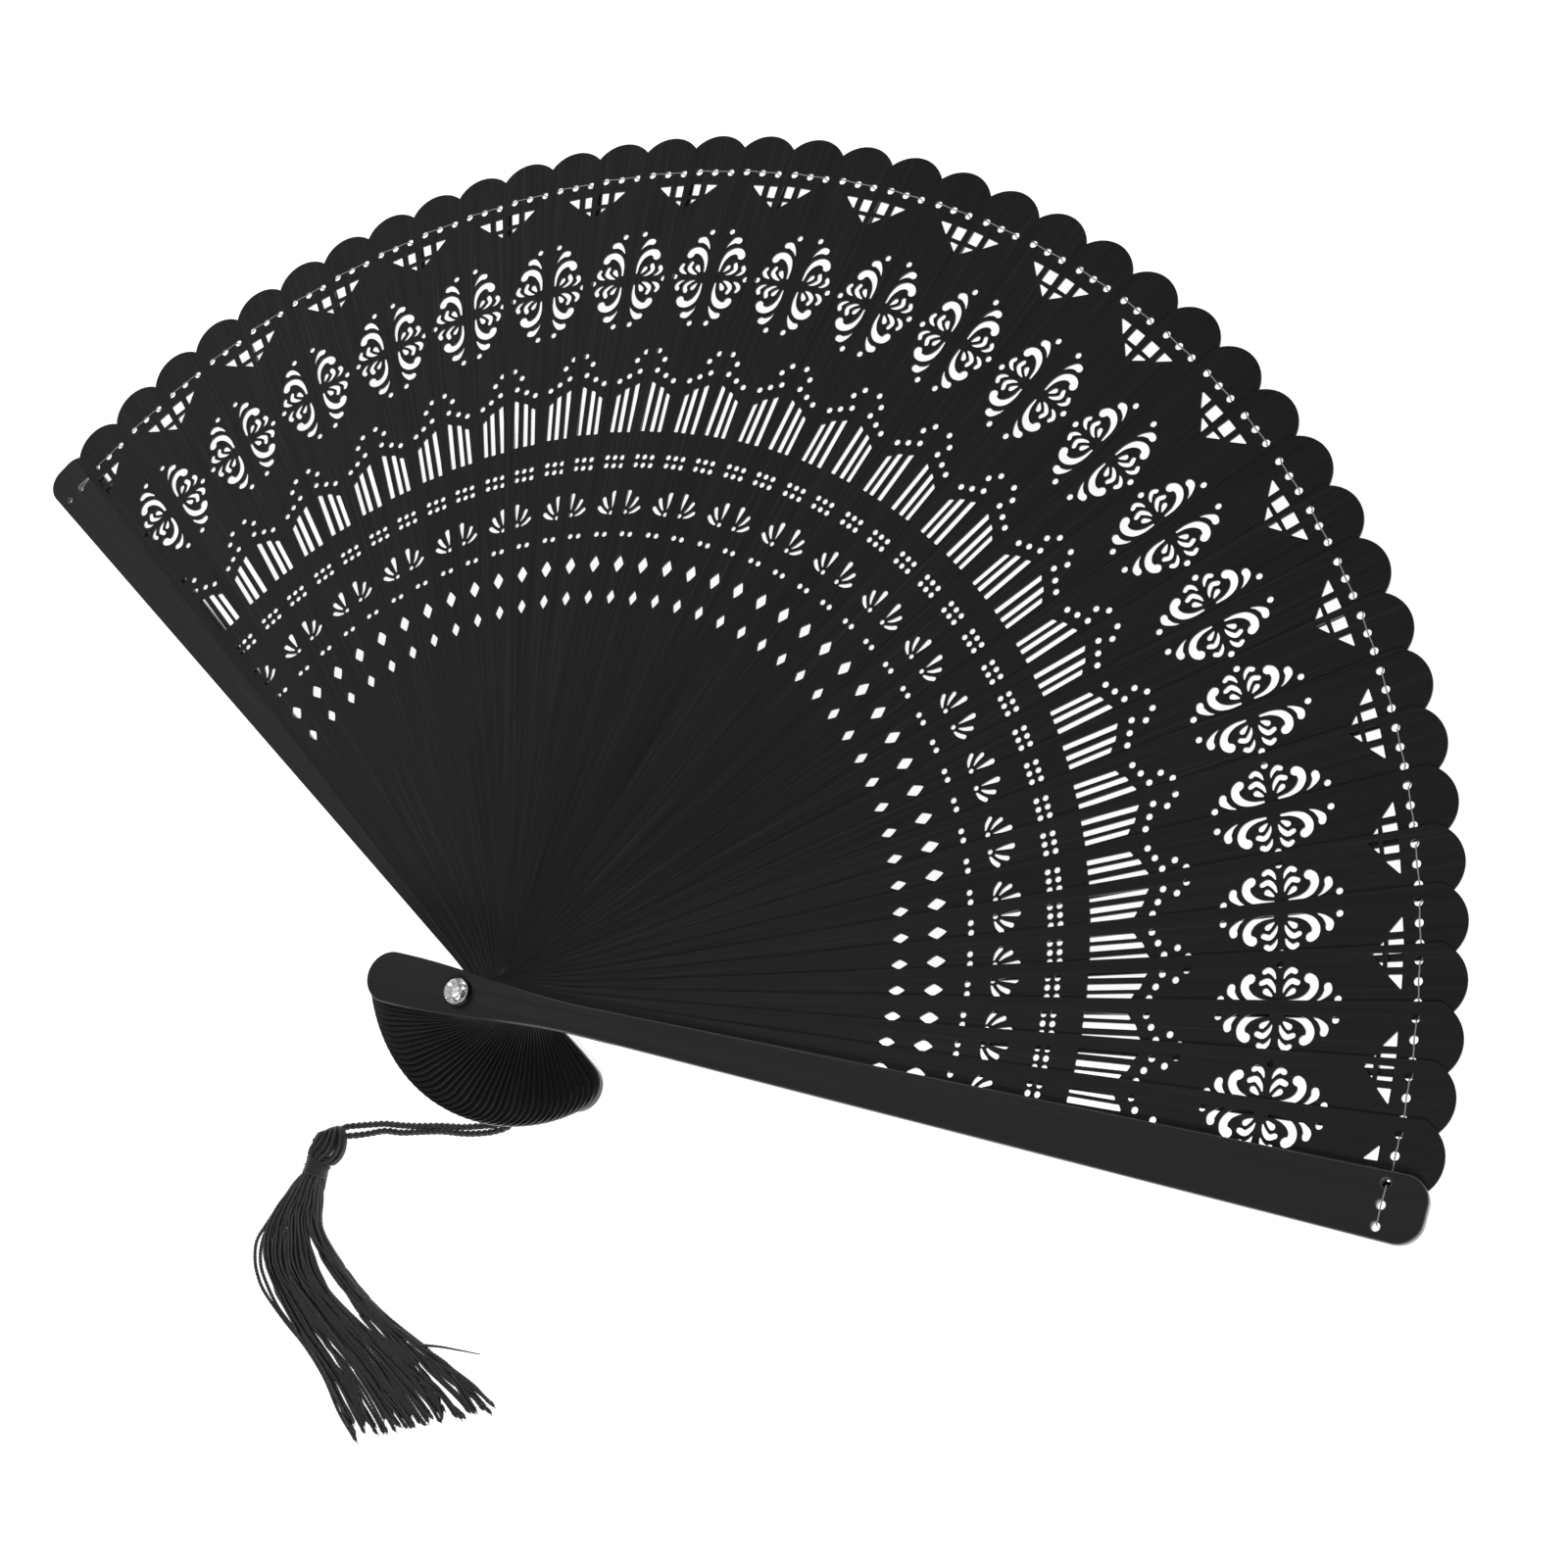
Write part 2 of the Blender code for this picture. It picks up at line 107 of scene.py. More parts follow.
def make_camera():
    camera = put_in_scene("camera", bpy.data.cameras.new("camera"))
    camera.data.lens = CAMERA_LENS
    camera.data.sensor_width = 36.0
    camera.data.clip_start = 0.01
    camera.data.clip_end = 20.0
    camera.location = CAMERA_PLACE
    camera.rotation_mode = "QUATERNION"
    roll = Quaternion((0.0, 0.0, 1.0), radians(CAMERA_ROLL))
    camera.rotation_quaternion = look_from(CAMERA_PLACE, CAMERA_AIM) @ roll
    bpy.context.scene.camera = camera


# ---- meshes ----


def add_object(name, mesh, body, material, stands_for=(), lift=0.0, turn=0.0):
    """A new piece that rides on a body, lifted and turned into its place first."""
    piece = put_in_scene(name, mesh)
    piece.location.z = lift
    piece.rotation_euler.z = turn
    if not mesh.materials:
        mesh.materials.append(material)
    if stands_for:
        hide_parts(*stands_for)
    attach(piece, body)
    return piece


def plain_mesh(name, vertices, faces, triangles=False):
    """A flat-shaded mesh with its faces turned outwards."""
    mesh = bpy.data.meshes.new(name)
    mesh.from_pydata([tuple(v) for v in vertices], [], faces)
    shape = bmesh.new()
    shape.from_mesh(mesh)
    if triangles:
        bmesh.ops.triangulate(shape, faces=shape.faces)
    bmesh.ops.recalc_face_normals(shape, faces=shape.faces)
    shape.to_mesh(mesh)
    shape.free()
    return mesh


def build_mesh(name, vertices, faces, uvs, edge=None, sharp=None):
    """A smooth mesh with a UV and an optional number, the edge attribute, at each vertex."""
    mesh = plain_mesh(name, vertices, faces)
    layer = mesh.uv_layers.new(name="along")
    loops = np.empty(len(mesh.loops), np.int32)
    mesh.loops.foreach_get("vertex_index", loops)
    layer.data.foreach_set("uv", np.asarray(uvs, np.float32)[loops].ravel())
    if edge is not None:
        attribute = mesh.attributes.new("edge", "FLOAT", "POINT")
        attribute.data.foreach_set("value", np.asarray(edge, np.float32))
    mesh.shade_smooth()
    if sharp is not None:
        mesh.set_sharp_from_angle(angle=radians(sharp))
    return mesh


def smooth_line(points, step):
    """Points about step apart on a Catmull-Rom curve through the given points."""
    knots = [np.array(p, float) for p in points]
    knots = [2 * knots[0] - knots[1], *knots, 2 * knots[-1] - knots[-2]]
    line = []
    for a, b, c, d in zip(knots, knots[1:], knots[2:], knots[3:]):
        pieces = max(1, round(float(np.linalg.norm((c - b)[:3])) / step))
        for k in range(pieces):
            s = k / pieces
            bend = (2 * a - 5 * b + 4 * c - d) * s * s + (3 * b - a - 3 * c + d) * s**3
            line.append((2 * b + (c - a) * s + bend) / 2)
    line.append(knots[-2])
    return np.array(line)


def in_metres(points):
    return [np.array(point) * MM for point in points]


def lengths_along(line):
    """The length of a line up to each of its points."""
    return np.concatenate([[0.0], np.cumsum(np.linalg.norm(np.diff(line, axis=0), axis=1))])


def directions(line):
    run = np.gradient(line, axis=0)
    return run / np.linalg.norm(run, axis=1)[:, None]


def line_frames(line):
    """Two unit vectors square to a line, carried along it without twist."""
    run = directions(line)
    start = np.array([0.0, 0.0, 1.0]) if abs(run[0][2]) < 0.9 else np.array([1.0, 0.0, 0.0])
    side = np.cross(run[0], start)
    sides = []
    for direction in run:
        side = side - direction * float(side @ direction)
        side /= np.linalg.norm(side)
        sides.append(side)
    sides = np.array(sides)
    return sides, np.cross(run, sides)


def ring(radius, z, sides, turn=0.0):
    """Points on a level circle about Z; the turn is in steps between points."""
    angles = [tau * (k + turn) / sides for k in range(sides)]
    return [(radius * cos(a), radius * sin(a), z) for a in angles]


def ring_faces(rings, sides):
    """The faces of a closed body whose vertices are rings of so many sides, end to end."""
    faces = []
    for row in range(rings - 1):
        for j in range(sides):
            after = (j + 1) % sides
            low, high = row * sides, (row + 1) * sides
            faces.append((low + j, low + after, high + after, high + j))
    last = (rings - 1) * sides
    faces.append(tuple(range(sides))[::-1])
    faces.append(tuple(range(last, last + sides)))
    return faces


def rings_about(line, side, up, across, above, sides):
    """Rings of vertices about a line, by how far they reach across and above it."""
    angle = tau * np.arange(sides) / sides
    reach_across = (across * np.cos(angle))[..., None] * side[:, None]
    reach_above = (above * np.sin(angle))[..., None] * up[:, None]
    return (line[:, None] + reach_across + reach_above).reshape(-1, 3)


def tube(line, radii, sides=8, plies=1, pitch=1.0, crease=0.0, phase=0.0):
    """Vertices, faces and UVs of a closed tube; plies of a twisted thread show as lobes."""
    along = lengths_along(line)[:, None]
    untwisted = tau * np.arange(sides) / sides - (phase + tau * along / pitch)
    lobe = np.abs(np.cos(plies * untwisted / 2.0)) if plies > 1 else 1.0
    radius = np.reshape(radii, (-1, 1)) * (1.0 - crease * (1.0 - lobe))
    vertices = rings_about(line, *line_frames(line), radius, radius, sides)
    uvs = np.stack(np.broadcast_arrays(along, untwisted / tau), axis=2).reshape(-1, 2)
    return vertices, ring_faces(len(line), sides), uvs


def gather(parts):
    """Several (vertices, faces, uvs) shapes as one."""
    vertices, faces, uvs = [], [], []
    for some_vertices, some_faces, some_uvs in parts:
        first = len(vertices)
        vertices.extend(some_vertices)
        uvs.extend(some_uvs)
        faces.extend(tuple(first + i for i in face) for face in some_faces)
    return vertices, faces, uvs


def turned(name, profile, sides, sharp=35.0):
    """A solid of revolution about Z from (radius, z) points, both ends on the axis."""
    vertices, faces, rings = [], [], []
    for radius, z in profile:
        first = len(vertices)
        if radius == 0.0:
            vertices.append((0.0, 0.0, z))
            rings.append([first] * sides)
        else:
            vertices.extend(ring(radius, z, sides))
            rings.append(list(range(first, first + sides)))
    for low, high in zip(rings, rings[1:]):
        for k in range(sides):
            after = (k + 1) % sides
            corners = (low[k], low[after], high[after], high[k])
            faces.append(tuple(dict.fromkeys(corners)))
    uvs = [(atan2(v[1], v[0]) / tau, hypot(v[0], v[1])) for v in vertices]
    return build_mesh(name, vertices, faces, uvs, sharp=sharp)


# ---- outlines of the sticks, as in the CAD model but finer; (r, t) in metres ----

HEAD_END = 23.2 * MM
HEAD_HALF_WIDTH = 5.5 * MM
NECK_HALF_WIDTH = 3.0 * MM
HEAD_SHOULDER = -16.0 * MM
NECK_START = 28.0 * MM
LEAF_TIP = 209.2 * MM
LEAF_TIP_RADIUS = 8.0 * MM
LEAF_HALF_WIDTH = 7.4 * MM
LEAF_STRAIGHTNESS = 0.7
GUARD_TIP = 208.5 * MM
GUARD_HALF_WIDTH = 6.5 * MM
GUARD_STRAIGHTNESS = 1.0
GUARD_CORNER_RADIUS = 5.0 * MM
BORE_RADIUS = 1.05 * MM
THREAD_HOLE_RADIUS = 0.86 * MM
THREAD_HOLE_SPACING = 4.05 * MM
THREAD_HOLE_DISTANCE = 200.0 * MM


def arc(centre, radius, start, end, steps):
    angles = [radians(start + (end - start) * k / steps) for k in range(steps + 1)]
    return [(centre[0] + radius * cos(a), centre[1] + radius * sin(a)) for a in angles]


def neck_half_width(r):
    along = (r - HEAD_SHOULDER) / (NECK_START - HEAD_SHOULDER)
    swell = (1.0 + cos(pi * min(max(along, 0.0), 1.0))) / 2.0
    return NECK_HALF_WIDTH + (HEAD_HALF_WIDTH - NECK_HALF_WIDTH) * swell


def blade_half_width(r, end, end_half_width, straightness):
    along = (r - NECK_START) / (end - NECK_START)
    growth = straightness * along + (1.0 - straightness) * along * along
    return NECK_HALF_WIDTH + (end_half_width - NECK_HALF_WIDTH) * growth


def stick_outline(tip_points, end, end_half_width, straightness):
    neck = [HEAD_SHOULDER + (NECK_START - HEAD_SHOULDER) * k / 12 for k in range(13)]
    blade = [NECK_START + (end - NECK_START) * k / 14 for k in range(1, 14)]
    side = [(r, neck_half_width(r)) for r in neck]
    side += [(r, blade_half_width(r, end, end_half_width, straightness)) for r in blade]
    head = arc((HEAD_HALF_WIDTH - HEAD_END, 0.0), HEAD_HALF_WIDTH, 90, 270, 24)
    lower = [(r, -t) for r, t in side]
    return lower + tip_points + side[::-1] + head


def leaf_outline():
    centre = (LEAF_TIP - LEAF_TIP_RADIUS, 0.0)
    reach = degrees(asin(LEAF_HALF_WIDTH / LEAF_TIP_RADIUS))
    tip = arc(centre, LEAF_TIP_RADIUS, -reach, reach, 30)
    return stick_outline(tip, tip[-1][0], LEAF_HALF_WIDTH, LEAF_STRAIGHTNESS)


def guard_outline():
    corner = (GUARD_TIP - GUARD_CORNER_RADIUS, GUARD_HALF_WIDTH - GUARD_CORNER_RADIUS)
    upper = arc(corner, GUARD_CORNER_RADIUS, 0, 90, 12)
    tip = [(r, -t) for r, t in upper[::-1]] + upper
    return stick_outline(tip, corner[0], GUARD_HALF_WIDTH, GUARD_STRAIGHTNESS)


# ---- the fretwork: outlines in millimetres, with t positive on an odd leaf's far side ----

LOZENGES = ((96.3, 3.5, 2.0), (104.1, 4.05, 2.5))
LOZENGE_SOFTNESS = 1.75
SMALL_DOT = 1.3
LARGE_DOT = 1.4
PAIR_DOTS = ((111.2, 0.95), (111.2, -1.05))
BLOCK_DOT_ROWS = (127.7, 129.7)
BLOCK_DOT_PLACES = (1.8, -0.08, -1.95)
ROOF_DOTS = ((148.35, 2.4), (149.55, 0.15), (150.75, -2.3), (153.45, -1.1), (155.5, -3.0))
BAR_START = 135.8
BARS = ((1.95, 1.1, 144.7, 145.5), (0.05, 1.2, 146.3, 147.0), (-2.35, 1.2, 147.3, 148.1))
BAR_CORNER = 0.28
LATTICE_CORNER = 0.18
LATTICE = (
    ((196.9, 1.6), (194.2, -1.4), (197.0, -1.4)),
    ((197.0, -2.8), (194.1, -2.8), (194.1, -5.6), (197.0, -5.6)),
    ((193.3, -2.9), (191.0, -5.6), (193.1, -5.6)),
)
# Petals, commas and scrolls are strokes: each point is r, t and the stroke's width there.
STROKE_STEP = 0.35
PALMETTE = (
    ((116.2, -0.55, 0.45), (116.75, 0.55, 0.9), (117.6, 1.5, 1.0)),
    ((117.4, -0.75, 0.4), (118.4, 0.0, 0.85), (119.7, 0.6, 1.05)),
    ((117.7, -1.75, 0.3), (119.5, -1.75, 0.9), (121.1, -1.7, 1.3)),
)
PALMETTE_DOT = (116.4, -1.65, 1.1)
FLORAL_MIDDLE = 173.76
FLORAL_STROKES = (
    ((166.6, 3.4, 0.25), (165.5, 2.75, 0.75), (164.45, 1.5, 1.55), (164.5, 0.6, 1.55)),
    (
        (172.2, 3.45, 0.55), (170.0, 3.25, 0.95), (168.1, 2.4, 1.45),
        (167.1, 0.9, 1.65), (167.3, -0.5, 1.8), (168.1, -1.05, 2.0),
    ),
    ((172.3, 2.25, 0.45), (171.75, 1.85, 0.95), (171.15, 1.4, 1.25)),
    ((173.0, 1.6, 0.3), (172.55, 0.5, 0.85), (171.5, -0.55, 1.15), (170.3, -0.2, 1.1)),
    ((172.95, -1.05, 0.3), (172.5, -2.0, 0.85), (171.6, -2.7, 1.15), (170.8, -2.35, 1.05)),
)
FLORAL_END_DOTS = ((162.45, 2.8), (185.05, 3.1))
FLORAL_SIDE_DOT = (173.76, -3.76)


def dot(r, t, width):
    """A round hole, wound clockwise as every hole is."""
    return arc((r, t), width / 2, 0, -360, 14)[:-1]


def lozenge(r, length, width):
    """A diamond with slightly swelling sides."""
    points = []
    for c, s in arc((0.0, 0.0), 1.0, 0, -360, 24)[:-1]:
        x = copysign(abs(c) ** LOZENGE_SOFTNESS, c) * length / 2
        y = copysign(abs(s) ** LOZENGE_SOFTNESS, s) * width / 2
        points.append((r + x, y))
    return points


def clockwise(points):
    area = sum(a[0] * b[1] - b[0] * a[1] for a, b in zip(points, points[1:] + points[:1]))
    return points if area < 0 else points[::-1]


def rounded(points, radius):
    """A polygon with its corners rounded."""
    made = []
    count = len(points)
    for k, corner in enumerate(points):
        corner = Vector(corner)
        before = (Vector(points[k - 1]) - corner).normalized()
        after = (Vector(points[(k + 1) % count]) - corner).normalized()
        half = before.angle(after) / 2
        reach = radius / tan(half)
        start, end = corner + before * reach, corner + after * reach
        for step in range(4):
            s = step / 3
            bend = start * (1 - s) ** 2 + corner * 2 * s * (1 - s) + end * s * s
            made.append((bend.x, bend.y))
    return clockwise(made)


def stroke(points):
    """The outline of a pen stroke whose width changes along it, with round ends."""
    line = smooth_line(points, STROKE_STEP)
    run = directions(line[:, :2])
    side = np.stack([-run[:, 1], run[:, 0]], axis=1)
    half = line[:, 2:3] / 2
    left, right = line[:, :2] + side * half, line[:, :2] - side * half

    def cap(k, direction):
        middle, reach = line[k, :2], half[k, 0]
        angles = [pi * step / 5 for step in range(1, 5)]
        spokes = [side[k] * cos(a) + direction * sin(a) for a in angles]
        return [middle + reach * spoke for spoke in spokes]

    end = cap(-1, run[-1])
    start = [2 * line[0, :2] - p for p in cap(0, run[0])]
    outline = [*left, *end, *right[::-1], *start]
    return clockwise([(float(p[0]), float(p[1])) for p in outline])


def bar(middle, width, end, far_end):
    high, low = middle + width / 2, middle - width / 2
    corners = [(BAR_START, low), (far_end, low), (end, high), (BAR_START, high)]
    return rounded(corners, BAR_CORNER)


def palmette():
    return [stroke(petal) for petal in PALMETTE] + [dot(*PALMETTE_DOT)]


def floral():
    """Half of the flower-shaped lozenge; the next leaf carries the other half."""
    shapes = []
    for points in FLORAL_STROKES:
        turned_over = [(2 * FLORAL_MIDDLE - r, t, width) for r, t, width in points]
        shapes += [stroke(points), stroke(turned_over)]
    shapes += [dot(r, t, LARGE_DOT) for r, t in FLORAL_END_DOTS]
    return shapes + [dot(*FLORAL_SIDE_DOT, LARGE_DOT)]


def fretwork():
    """Every opening of an odd leaf, in metres."""
    shapes = [lozenge(*row) for row in LOZENGES]
    shapes += [dot(r, t, SMALL_DOT) for r, t in PAIR_DOTS]
    shapes += palmette()
    shapes += [dot(r, t, SMALL_DOT) for r in BLOCK_DOT_ROWS for t in BLOCK_DOT_PLACES]
    shapes += [bar(*row) for row in BARS]
    shapes += [dot(r, t, LARGE_DOT) for r, t in ROOF_DOTS]
    shapes += floral()
    shapes += [rounded(points, LATTICE_CORNER) for points in LATTICE]
    return [[(r * MM, t * MM) for r, t in shape] for shape in shapes]


def stick_holes():
    """The rivet's bore and the three holes for the thread, in metres."""
    places = [side * THREAD_HOLE_SPACING for side in (-1, 0, 1)]
    thread_holes = [dot(THREAD_HOLE_DISTANCE, t, 2 * THREAD_HOLE_RADIUS) for t in places]
    return [dot(0.0, 0.0, 2 * BORE_RADIUS), *thread_holes]


def mirrored(outline):
    return [(r, -t) for r, t in outline[::-1]]


# ---- pierced plates ----


def inset(outline, distance):
    """The outline moved into the material, which is on its left, with mitred corners."""
    points = np.array(outline)
    run = np.roll(points, -1, axis=0) - points
    run /= np.linalg.norm(run, axis=1)[:, None]
    normal = np.stack([-run[:, 1], run[:, 0]], axis=1)
    before = np.roll(normal, 1, axis=0)
    square = np.maximum(1.0 + (normal * before).sum(axis=1), 0.5)
    return points + (normal + before) / square[:, None] * distance


def pierced_plate(name, outline, holes, profile):
    """A plate with holes.  The profile lists (inset, z) up its edge, from bottom to top."""
    vertices, faces, edge = [], [], []
    floor, roof, fill_loops = [], [], []
    deepest = max(depth for depth, _ in profile)
    for loop in [outline, *holes]:
        rims = []
        for depth, z in profile:
            first = len(vertices)
            moved = inset(loop, depth)
            vertices.extend((p[0], p[1], z) for p in moved)
            edge.extend([1.0 - depth / deepest] * len(moved))
            rims.append(list(range(first, first + len(moved))))
        for low, high in zip(rims, rims[1:]):
            count = len(low)
            for k in range(count):
                after = (k + 1) % count
                faces.append((low[k], low[after], high[after], high[k]))
        floor += rims[0]
        roof += rims[-1]
        fill_loops.append([Vector((p[0], p[1], 0.0)) for p in inset(loop, profile[-1][0])])
    for triangle in tessellate_polygon(fill_loops):
        faces.append(tuple(floor[k] for k in triangle))
        faces.append(tuple(roof[k] for k in triangle))
    uvs = [(v[0], v[1]) for v in vertices]
    return build_mesh(name, vertices, faces, uvs, edge, sharp=28.0)


LEAF_EDGE = 0.07 * MM
GUARD_EDGE_WIDTH = 0.35 * MM
GUARD_EDGE_HEIGHT = 0.30 * MM
GUARD_EDGE_STEPS = 6
# How much lighter each stick is, as its own tone and as painted sheen on the leaves at both ends, and how glossy
# its sides are, with a painted highlight on the guards' sides.
END_LEAF_PAINTED_SHEEN = 0.95
SHEEN_FALLOFF_POWER = 1.4
LEAF_VARIETY = 0.18
FRONT_GUARD_TONE_AND_LIGHT = {"tone_and_sheen": 1.7, "polish_and_highlight": 1.0}
REAR_GUARD_TONE_AND_LIGHT = {"tone_and_sheen": 2.2, "polish_and_highlight": 0.2}


def leaf_profile(half):
    return [(LEAF_EDGE, -half), (0.0, LEAF_EDGE - half), (0.0, half - LEAF_EDGE), (LEAF_EDGE, half)]


def guard_profile(half):
    """A quarter ellipse at the bottom and at the top."""
    corner = []
    for k in range(GUARD_EDGE_STEPS + 1):
        a = pi / 2 * k / GUARD_EDGE_STEPS
        depth = GUARD_EDGE_WIDTH * (1.0 - sin(a))
        corner.append((depth, half - GUARD_EDGE_HEIGHT * (1.0 - cos(a))))
    return [(depth, -z) for depth, z in corner] + corner[::-1]


def half_thickness(name):
    low, high = stick_heights(name)
    return (high - low) / 2


def body_of(name):
    return ROOT_BODY if name == "rear_guard" else name


def make_stick(name, mesh, wood, tone_and_sheen, polish_and_highlight=0.0):
    """A leaf or guard; its material reads its tone with painted sheen, and its polish with a painted highlight on
    its sides.
    """
    piece = add_object(
        f"{name}_wood",
        mesh,
        body_of(name),
        wood,
        [name],
        lift=sum(stick_heights(name)) / 2,
        turn=stick_angle(name),
    )
    piece["tone_and_sheen"] = tone_and_sheen
    piece["polish_and_highlight"] = polish_and_highlight


def make_sticks(wood):
    profile = leaf_profile(half_thickness(LEAVES[0]))
    odd_cuts = fretwork()
    even_cuts = [mirrored(cut) for cut in odd_cuts]
    odd = pierced_plate("leaf_odd", leaf_outline(), stick_holes() + odd_cuts, profile)
    even = pierced_plate("leaf_even", leaf_outline(), stick_holes() + even_cuts, profile)
    rng = np.random.default_rng(7)
    for number, name in enumerate(LEAVES, start=1):
        # The leaves at the two ends are painted lightest, a painted sheen for how the light falls on them; the
        # random part is each leaf's own tone.
        painted_sheen = abs(2.0 * number / len(LEAVES) - 1.0) ** SHEEN_FALLOFF_POWER
        tone_and_sheen = END_LEAF_PAINTED_SHEEN * painted_sheen + LEAF_VARIETY * float(rng.uniform())
        make_stick(name, odd if number % 2 else even, wood, tone_and_sheen)
    profile = guard_profile(half_thickness("front_guard"))
    guard = pierced_plate("guard", guard_outline(), stick_holes(), profile)
    make_stick("front_guard", guard, wood, **FRONT_GUARD_TONE_AND_LIGHT)
    make_stick("rear_guard", guard, wood, **REAR_GUARD_TONE_AND_LIGHT)


# ---- the ribbon thread along the rim ----

THREAD_WIDTH = 0.30 * MM
THREAD_HEIGHT = 0.12 * MM
THREAD_STEP = 0.25 * MM
STITCH_DISTANCE = 200.2 * MM
# The two strands of the doubled end stitch spread from the knot by these distances.
TIED_STRAND_LEANS = (-0.55 * MM, 0.35 * MM)
# Neighbouring links pass each other in their shared hole.
LINK_OFFSET = 0.25 * MM


def flat_tube(line, width, height, sides=8):
    """A thread pressed flat: an oval tube along a line that is level or nearly so."""
    run = directions(line)
    side = np.cross(run, np.array([0.0, 0.0, 1.0]))
    length = np.linalg.norm(side, axis=1)[:, None]
    side = np.where(length > 0.2, side / np.maximum(length, 1e-9), np.array([1.0, 0.0, 0.0]))
    vertices = rings_about(line, side, np.cross(side, run), width / 2, height / 2, sides)
    uvs = [(k * 0.2 * MM, j / sides) for k in range(len(line)) for j in range(sides)]
    return vertices, ring_faces(len(line), sides), uvs


def to_world(name, r, t, z):
    a = stick_angle(name)
    return (r * cos(a) - t * sin(a), r * sin(a) + t * cos(a), z)


def sewn(name, route):
    """A smooth line through points on a stick, whose r counts from the row of stitches."""
    return smooth_line([to_world(name, STITCH_DISTANCE + r, t, z) for r, t, z in route], THREAD_STEP)


def stitch_line(name):
    """Down each outer hole and along the front face over the middle one."""
    low, high = stick_heights(name)
    top = high + THREAD_HEIGHT * 0.55
    reach = THREAD_HOLE_SPACING
    half = [
        (0.0, reach - 0.1 * MM, low),
        (0.0, reach - 0.35 * MM, high - 0.15 * MM),
        (0.0, reach - 0.9 * MM, top),
        (0.0, reach / 2, top),
    ]
    other_half = [(r, -t, z) for r, t, z in reversed(half)]
    return sewn(name, [*half, (-0.1 * MM, 0.0, top), *other_half])


def tied_stitch_line(name, lean):
    """One strand of the doubled end stitch."""
    low, high = stick_heights(name)
    top = high + THREAD_HEIGHT * 0.55
    route = [
        (0.0, 0.1 * MM - THREAD_HOLE_SPACING, low),
        (0.0, 0.2 * MM - THREAD_HOLE_SPACING, high - 0.15 * MM),
        (lean * 0.2, 0.7 * MM - THREAD_HOLE_SPACING, top),
        (lean, -1.0 * MM, top),
        (lean * 0.8, 0.1 * MM, top),
        (lean * 0.3, 0.45 * MM, high - 0.3 * MM),
    ]
    return sewn(name, route)


def link_line(name, upper):
    """From a stick's near hole, under it, up to the far hole of the stick that lies on it."""
    low, _ = stick_heights(name)
    upper_low, _ = stick_heights(upper)
    reach = THREAD_HOLE_SPACING
    under = low - THREAD_HEIGHT * 0.6
    leaving, arriving = STITCH_DISTANCE - LINK_OFFSET, STITCH_DISTANCE + LINK_OFFSET
    route = [
        to_world(name, leaving, 0.1 * MM - reach, low + 0.1 * MM),
        to_world(name, leaving, -reach - 0.3 * MM, under),
        to_world(name, leaving, -reach - 1.6 * MM, under),
        to_world(upper, arriving, reach + 1.0 * MM, upper_low - 0.3 * MM),
        to_world(upper, arriving, reach + 0.3 * MM, upper_low - THREAD_HEIGHT),
        to_world(upper, arriving, reach - 0.1 * MM, upper_low + 0.1 * MM),
    ]
    return smooth_line(route, THREAD_STEP)


def add_thread(name, shape, stick, nylon):
    return add_object(name, build_mesh(name, *shape), body_of(stick), nylon)


def make_thread(nylon):
    """Stitches ride on their sticks, and each link between sticks rides on the lower of the two."""
    order = ["front_guard", *LEAVES, "rear_guard"]
    for name in order[:-1]:
        stitch = flat_tube(stitch_line(name), THREAD_WIDTH, THREAD_HEIGHT)
        add_thread(f"{name}_stitch", stitch, name, nylon)
    strands = [tied_stitch_line("rear_guard", lean) for lean in TIED_STRAND_LEANS]
    knot = gather([flat_tube(line, THREAD_WIDTH * 1.5, THREAD_HEIGHT) for line in strands])
    add_thread("rear_guard_stitch", knot, "rear_guard", nylon)
    for upper, name in zip(order, order[1:]):
        line = link_line(name, upper)
        shape = flat_tube(line, THREAD_WIDTH * 0.9, THREAD_HEIGHT * 1.6)
        link = add_thread(f"{name}_link", shape, name, nylon)
        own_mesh(link)


# ---- the rivet and its crystal ----

RIVET_HEAD_RADIUS = 3.2 * MM
RIVET_HEAD_EDGE = 0.25 * MM
RIVET_HEAD_THICKNESS = 0.8 * MM
SHANK_RADIUS = 0.95 * MM
SHANK_CHAMFER = 0.1 * MM
CRYSTAL_RADIUS = 2.7 * MM
TABLE_RADIUS = 1.45 * MM
STAR_RADIUS = 2.1 * MM
CULET_RADIUS = 0.9 * MM
FOIL_SIDES = 16


def add_metal(name, mesh, metal, node):
    add_object(name, mesh, ROOT_BODY, metal, [node])


def make_rivet(metal):
    """A flat head with round edges, and a shank."""
    low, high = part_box("rivet_pin")
    edge, chamfer = RIVET_HEAD_EDGE, SHANK_CHAMFER
    head, shank, top = RIVET_HEAD_RADIUS, SHANK_RADIUS, RIVET_HEAD_THICKNESS
    profile = [(0.0, low.z)]
    profile += arc((head - edge, low.z + edge), edge, -90, 0, 4)
    profile += arc((head - edge, top - edge), edge, 0, 90, 4)
    profile += [(shank + chamfer, top), (shank, top + chamfer)]
    profile += [(shank, high.z - chamfer), (shank - chamfer, high.z), (0.0, high.z)]
    add_metal("rivet_body", turned("rivet_body", profile, 48), metal, "rivet_pin")


